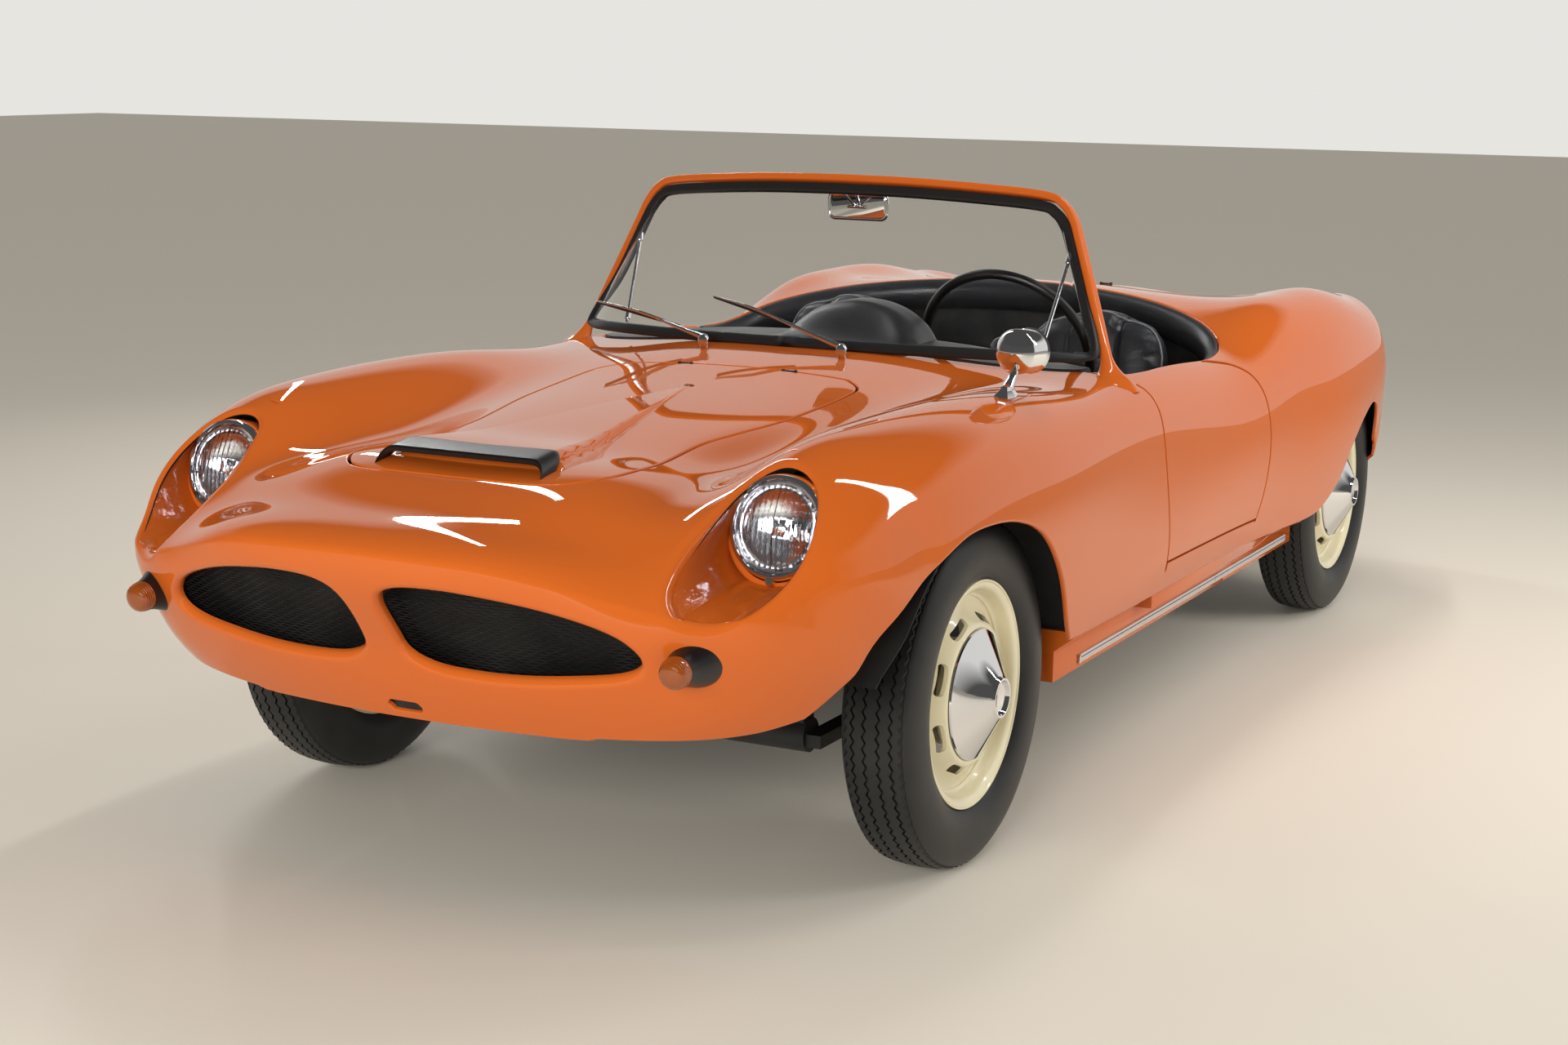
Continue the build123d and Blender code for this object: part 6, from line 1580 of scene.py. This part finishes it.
TILT = math.radians(25)
HUB = np.array((315, 1060, 800.0))
COLUMN = np.array((0, math.cos(TILT), math.sin(TILT)))
COLUMN_UP = np.array((0, -math.sin(TILT), math.cos(TILT)))
SPOKE_SIDES = 16
bpy.ops.mesh.primitive_torus_add(location=tuple(metre(HUB + COLUMN * 8)), rotation=(TILT - math.pi / 2, 0, 0),
                                 major_segments=120, minor_segments=16, major_radius=0.192, minor_radius=0.011)
rim = bpy.context.object
rim = settled(rim, "steering_rim", gloss_black, 60)
parts = [rim]
for turn in (0, 180, 270):
    a = math.radians(turn)
    way = np.array((math.cos(a), 0, 0)) + COLUMN_UP * math.sin(a)
    side = np.array((-math.sin(a), 0, 0)) + COLUMN_UP * math.cos(a)
    spots = [HUB + way * r + COLUMN * d for r, d in ((24, -6), (70, -5), (130, 1), (184, 8))]
    widths = (17, 14, 11, 13)
    rings = [[s + side * w * math.cos(t) + COLUMN * 4 * math.sin(t)
              for t in np.linspace(0, math.tau, SPOKE_SIDES, endpoint=False)] for s, w in zip(spots, widths)]
    spoke = made("spoke", np.array(rings).reshape(-1, 3), ring_faces(len(spots), SPOKE_SIDES))
    edited(spoke, cleaned)
    parts.append(settled(spoke, "spoke", gloss_black, 60))
parts.append(turned("steering_hub", [(-40, 0), (-40, 22), (-14, 30), (-4, 38), (4, 38), (10, 34), (12, 28),
                                     (12, 0)], HUB, COLUMN, gloss_black, 64, 40))
parts.append(turned("horn_ring", [(10, 27), (10, 31), (13, 31), (14.5, 29), (13, 27), (10, 27)], HUB, COLUMN,
                    bright_chrome, 64, 40))
parts.append(turned("horn_button", [(11, 0), (11, 27), (15, 22), (18, 12), (19, 0)], HUB, COLUMN, gloss_black, 64, 60))
carried(joined(parts, "steering_wheel_piece"), "steering_wheel", ["steering_wheel"])

# Levers on the tunnel

boot = turned("gear_boot", [(-2, 0), (-2, 36), (2, 36), (6, 33), (12, 27), (16, 29), (22, 20), (26, 22), (34, 13),
                            (44, 9), (50, 0)], (0, 1050, 350), (0, 0.12, 1), black_rubber, 48, 30)
lever = tube("gear_rod", [(0, 1053, 380), (0, 1062, 460), (0, 1075, 560)], 5.5, bright_chrome)
bpy.ops.mesh.primitive_uv_sphere_add(segments=32, ring_count=16, radius=0.021, location=tuple(metre((0, 1076, 572))))
knob = settled(bpy.context.object, "gear_knob", gloss_black, 60)
brake = tube("brake_bar", [(0, 1340, 366), (0, 1300, 384), (0, 1230, 420), (0, 1170, 452)], 8, chassis_black)
grip = tube("brake_grip", [(0, 1235, 417), (0, 1160, 457)], 12, black_rubber, taper=(0.8, 1.05, 1.0, 1.1, 0.8),
            smooth=False)
button = tube("brake_button", [(0, 1160, 457), (0, 1152, 461)], 6, bright_chrome, smooth=False)
base = block("brake_base", (-14, 1280, 348), (14, 1362, 374), chassis_black, 3)
carried(joined([boot, lever, knob, brake, grip, button, base], "levers"), "body", ["floor_levers"])

# Seats: stuffed leather pads with sewn channels and piping

SEAT_X, SEAT_HALF = 327.5, 192
BACK_TOP = 842


def stuffed(piece, cap):
    """Swells a pad under pressure, with its movement capped."""
    only(piece)
    remesh = piece.modifiers.new("even", "REMESH")
    remesh.mode, remesh.voxel_size = "VOXEL", 0.007
    bpy.ops.object.modifier_apply(modifier="even")
    before = np.empty(len(piece.data.vertices) * 3)
    piece.data.vertices.foreach_get("co", before)
    cloth = piece.modifiers.new("stuffing", "CLOTH")
    cloth.settings.quality = 4
    cloth.settings.use_pressure = True
    cloth.settings.uniform_pressure_force = 4
    cloth.settings.effector_weights.gravity = 0
    cloth.settings.tension_stiffness = 30
    cloth.settings.compression_stiffness = 30
    cloth.point_cache.frame_start, cloth.point_cache.frame_end = 1, 20
    for frame_number in range(1, 19):
        bpy.context.scene.frame_set(frame_number)
    bpy.ops.object.modifier_apply(modifier="stuffing")
    after = np.empty_like(before)
    piece.data.vertices.foreach_get("co", after)
    before, after = before.reshape(-1, 3), after.reshape(-1, 3)
    move = after - before
    length = np.maximum(np.linalg.norm(move, axis=1), 1e-9)
    after = before + move * np.minimum(1, cap / 1000 / length)[:, None]
    piece.data.vertices.foreach_set("co", after.ravel())
    bpy.context.scene.frame_set(1)
    fine = piece.modifiers.new("fine", "SUBSURF")
    fine.levels = fine.render_levels = 1
    bpy.ops.object.modifier_apply(modifier="fine")
    return piece


def pad(name, shape, cuts=14):
    """A pad from a cube whose points are placed by a function of three shares."""
    bpy.ops.mesh.primitive_cube_add(size=2, location=(0, 0, 0))
    piece = bpy.context.object
    edited(piece, lambda: bpy.ops.mesh.subdivide(number_cuts=cuts))
    for vertex in piece.data.vertices:
        vertex.co = Vector(metre(shape(*vertex.co)))
    piece.name = name
    return piece


def back_shape(a, c, b):
    """A seat back: a across, c from its front to its rear, b upwards."""
    z = 440 + (BACK_TOP - 440) * (b + 1) / 2
    over = max(0, z - (BACK_TOP - 125))
    half = SEAT_HALF - 9 - (125 - math.sqrt(max(125 ** 2 - over ** 2, 0))) * 0.95
    front = 1508 + (z - 455) * 0.243
    thick = 84 - 22 * (b + 1) / 2
    round_off = 1 - abs(a) ** 6 * 0.35
    top = 1 - max(0, b - 0.72) ** 2 * 3.4
    middle = front + thick / 2
    crown = (c < 0) * 16 * (1 - a * a) * (1 - (b - 0.1) ** 2 * 0.8)
    sag = 10 * (1 - a * a) * (b > 0.98)
    return SEAT_X + a * half, middle + c * thick / 2 * round_off * top - crown, z + sag


def cushion_shape(a, b, c):
    """A seat cushion: a across, b from its front to its rear, c upwards."""
    y = 1128 + (1494 - 1128) * (b + 1) / 2
    z = 256 + (438 - 256) * (c + 1) / 2
    if c > 0:
        z -= c * 14 * max(0, -b - 0.55) ** 2 * 6
        z += c * 12 * (1 - a * a) * (1 - b * b)
        z += c * 8 * abs(a) ** 3
    return SEAT_X + a * (SEAT_HALF - 8), y, z


def sewn(piece, seams, deep, wide, facing):
    """Presses sewn channels into the side of a pad that faces a way."""
    count = len(piece.data.vertices)
    at, n = np.empty(count * 3), np.empty(count * 3)
    piece.data.vertices.foreach_get("co", at)
    piece.data.vertex_normals.foreach_get("vector", n)
    at, n = at.reshape(-1, 3), n.reshape(-1, 3)
    shown = np.clip((n @ np.array(facing)) * 1.6 + 0.35, 0, 1)
    for seam in seams:
        gap = np.abs(at[:, 0] * 1000 - seam)
        at = at - n * ((deep * np.exp(-(gap / wide) ** 2) + 3.5 * np.exp(-(gap / 22) ** 2)) / 1000 * shown)[:, None]
    piece.data.vertices.foreach_set("co", at.ravel())
    piece.data.update()
    return piece


def piping(name, piece, line, material):
    """A thin cord laid along a line on a pad."""
    bpy.context.view_layer.update()
    tree = BVHTree.FromObject(piece, bpy.context.evaluated_depsgraph_get())
    spots = []
    for point in eased(line, 8):
        spot, normal, _, _ = tree.find_nearest(Vector(metre(point)))
        spots.append(np.array(spot + normal * 0.0008) * 1000 - [0, FRONT_AXLE_Y, 0])
    return tube(name, spots, 2.6, material, smooth=False)


piping_grey = finish("piping_grey", (0.2, 0.2, 0.21), 0.4, uneven=0.1)
back_pad = sewn(stuffed(pad("seat_back", back_shape), 12), (SEAT_X - 64, SEAT_X + 64), 7, 5, (0, -1, 0.1))
back_pad = settled(back_pad, "seat_back_left", black_leather, 70)
cushion_pad = sewn(stuffed(pad("seat_cushion", cushion_shape), 12), (SEAT_X - 64, SEAT_X + 64), 7, 5, (0, 0, 1))
cushion_pad = settled(cushion_pad, "seat_cushion_left", black_leather, 70)
over = [(SEAT_X - 186, 1512, 470), (SEAT_X - 186, 1545, 600), (SEAT_X - 184, 1572, 710),
        (SEAT_X - 164, 1592, 790), (SEAT_X - 110, 1602, 836), (SEAT_X, 1604, 850), (SEAT_X + 110, 1602, 836),
        (SEAT_X + 164, 1592, 790), (SEAT_X + 184, 1572, 710), (SEAT_X + 186, 1545, 600), (SEAT_X + 186, 1512, 470)]
back_cord = piping("back_piping_left", back_pad, over, piping_grey)
front_line = [(SEAT_X - 188, 1490, 446), (SEAT_X - 188, 1300, 450), (SEAT_X - 186, 1160, 444),
              (SEAT_X - 150, 1126, 438), (SEAT_X, 1122, 442), (SEAT_X + 150, 1126, 438),
              (SEAT_X + 186, 1160, 444), (SEAT_X + 188, 1300, 450),
              (SEAT_X + 188, 1490, 446)]
cushion_cord = piping("cushion_piping_left", cushion_pad, front_line, piping_grey)
for piece, nodes in ((back_pad, ["seat_backs"]), (cushion_pad, ["seat_cushions"]), (back_cord, []), (cushion_cord, [])):
    other = duplicate(piece, piece.name.replace("left", "right"), MIRROR)
    for half in (piece, other):
        carried(half, "body", nodes)

# The padded rim round the back of the cockpit

rim_line = eased([(651, 1400), (648, 1480), (640, 1540), (628, 1592), (600, 1650), (532, 1722), (402, 1800),
                  (202, 1870), (90, 1884), (0, 1887)], 5)
rim_line = np.concatenate([rim_line, rim_line[::-1][1:] * [-1, 1]])
way = unit(np.gradient(rim_line, axis=0))
inwards = np.stack([-way[:, 1], way[:, 0]], 1)
inwards *= np.sign((inwards * (np.array([0, 1300]) - rim_line)).sum(1))[:, None]
tops = np.array([skin_height(float(x) - 6 * float(i), float(y) - 6 * float(j)) or 780
                 for (x, y), (i, j) in zip(rim_line, inwards)])
centres = np.concatenate([rim_line + inwards * 8, (tops - 11)[:, None]], 1)
across = np.concatenate([inwards, np.full((len(inwards), 1), -0.25)], 1)
roll_profile = [(-9, 6), (-5, 9.5), (3, 9), (12, 5), (20, -3), (25, -14), (26, -30), (24, -60), (20, -62), (18, -30),
                (12, -16), (2, -8), (-9, -6)]
cockpit_rim = strip_along("cockpit_padding", centres, across, [(0, 0, 1)] * len(centres), roll_profile, black_leather,
                          angle=60)
carried(cockpit_rim, "body")

# The door hinges, a little further in, so that the skin covers them
HINGE_INSET = 0.006
brackets = duplicate(bpy.data.objects["hinge_brackets"], "hinge_pieces")
for vertex in brackets.data.vertices:
    if abs(vertex.co.x) > 0.66:
        vertex.co.x -= math.copysign(HINGE_INSET, vertex.co.x)
carried(settled(brackets, "hinge_pieces", chassis_black), "body", ["hinge_brackets"])

# Finishes of the parts that stay as they are
KEPT = {"floor_pan": chassis_black, "front_bulkhead": chassis_black, "cockpit_lining": black_trim,
        "rear_axle": chassis_black, "engine_block": engine_alloy, "exhaust": exhaust_steel,
        "knuckle_left": chassis_black, "knuckle_right": chassis_black,
        "front_axle_beam": chassis_black, "steering_column": chassis_black}
for node, material in KEPT.items():
    for slot in bpy.data.objects[node].material_slots:
        slot.material = material


# Camera, light and floor

LENS = 57.21
CAMERA_AT = (2.3953, -5.1543, 1.4747)
CAMERA_YAW, CAMERA_DIP, CAMERA_ROLL = math.radians(27.375), math.radians(11.005), math.radians(0.612)


def aimed_camera():
    """The camera at the photograph's place."""
    bpy.ops.object.camera_add(location=CAMERA_AT)
    camera = bpy.context.object
    camera.name = "camera"
    camera.data.lens = LENS
    camera.data.sensor_width = 36
    forward = Vector((-math.sin(CAMERA_YAW) * math.cos(CAMERA_DIP), math.cos(CAMERA_YAW) * math.cos(CAMERA_DIP),
                      -math.sin(CAMERA_DIP)))
    right = forward.cross(Vector((0, 0, 1))).normalized()
    up = right.cross(forward)
    turned = Matrix((math.cos(CAMERA_ROLL) * right + math.sin(CAMERA_ROLL) * up,
                     -math.sin(CAMERA_ROLL) * right + math.cos(CAMERA_ROLL) * up, -forward)).transposed()
    camera.rotation_euler = turned.to_euler()
    return camera


bpy.context.scene.camera = aimed_camera()
bpy.context.scene.view_settings.view_transform = "Standard"


def lamp(name, place, aim, size, power, spread=math.radians(150)):
    """A soft rectangular lamp."""
    bpy.ops.object.light_add(type="AREA", location=place)
    light = bpy.context.object
    light.name = name
    light.data.shape = "RECTANGLE"
    light.data.size, light.data.size_y = size
    light.data.energy = power
    light.data.spread = spread
    light.rotation_euler = (Vector(aim) - Vector(place)).to_track_quat("-Z", "Y").to_euler()
    return light


lamp("near_tube", (2.5, 0.9, 3.4), (0.2, 0, 0.5), (0.12, 3.0), 24)
middle_tube = lamp("middle_tube", (-0.2, 1.2, 3.7), (0, 0, 0), (0.12, 3.0), 24)
middle_tube.visible_glossy = False
lamp("far_tube", (-3.0, 2.0, 3.4), (-0.2, 0, 0.5), (0.12, 3.2), 24)
front_lamp = lamp("front_lamp", (0.9, -7.2, 2.0), (0, -0.5, 0.5), (3.6, 1.8), 190)
front_lamp.visible_glossy = False
side_lamp = lamp("side_lamp", (5.2, 1.2, 2.2), (0.5, 0.9, 0.6), (2.4, 1.6), 70)
side_lamp.visible_glossy = False

# The room as lit surfaces see it, and its mirror image: pale walls behind the car, dark ones before it, dark ceiling
WALL_LIGHT, CEILING_LIGHT = (0.80, 0.785, 0.75, 1), (0.30, 0.295, 0.285, 1)
WALL_BEHIND, WALL_BEFORE, CEILING_SEEN = (0.74, 0.725, 0.69, 1), (0.08, 0.078, 0.075, 1), (0.07, 0.068, 0.066, 1)
world = bpy.data.worlds.new("studio_world")
bpy.context.scene.world = world
world.use_nodes = True
world_tree = world.node_tree
background = world_tree.nodes["Background"]
light_path = world_tree.nodes.new("ShaderNodeLightPath")
direction = world_tree.nodes.new("ShaderNodeSeparateXYZ")
world_tree.links.new(world_tree.nodes.new("ShaderNodeTexCoord").outputs["Generated"], direction.inputs[0])
lit = blended(world_tree, ranged(world_tree, direction.outputs["Z"], 0.05, 0.7, 0.0, 1.0), WALL_LIGHT, CEILING_LIGHT)
walls = blended(world_tree, ranged(world_tree, direction.outputs["Y"], 0.05, 0.45, 0.0, 1.0), WALL_BEFORE, WALL_BEHIND)
seen = blended(world_tree, ranged(world_tree, direction.outputs["Z"], 0.40, 0.50, 0.0, 1.0), walls, CEILING_SEEN)
room = blended(world_tree, light_path.outputs["Is Glossy Ray"], lit, seen)
shown = blended(world_tree, light_path.outputs["Is Camera Ray"], room, WALL_LIGHT)
world_tree.links.new(shown, background.inputs["Color"])
background.inputs["Strength"].default_value = 1.0

FLOOR_COLOUR, FLOOR_SIZE = (0.86, 0.79, 0.67, 1), 60
floor_material = bpy.data.materials.new("studio_floor")
floor_material.use_nodes = True
floor_shader = floor_material.node_tree.nodes["Principled BSDF"]
floor_shader.inputs["Base Color"].default_value = FLOOR_COLOUR
floor_shader.inputs["Roughness"].default_value = 0.6
bpy.ops.mesh.primitive_plane_add(size=FLOOR_SIZE, location=(0, 0, 0))
floor = bpy.context.object
floor.name = "studio_floor"
floor.data.materials.append(floor_material)
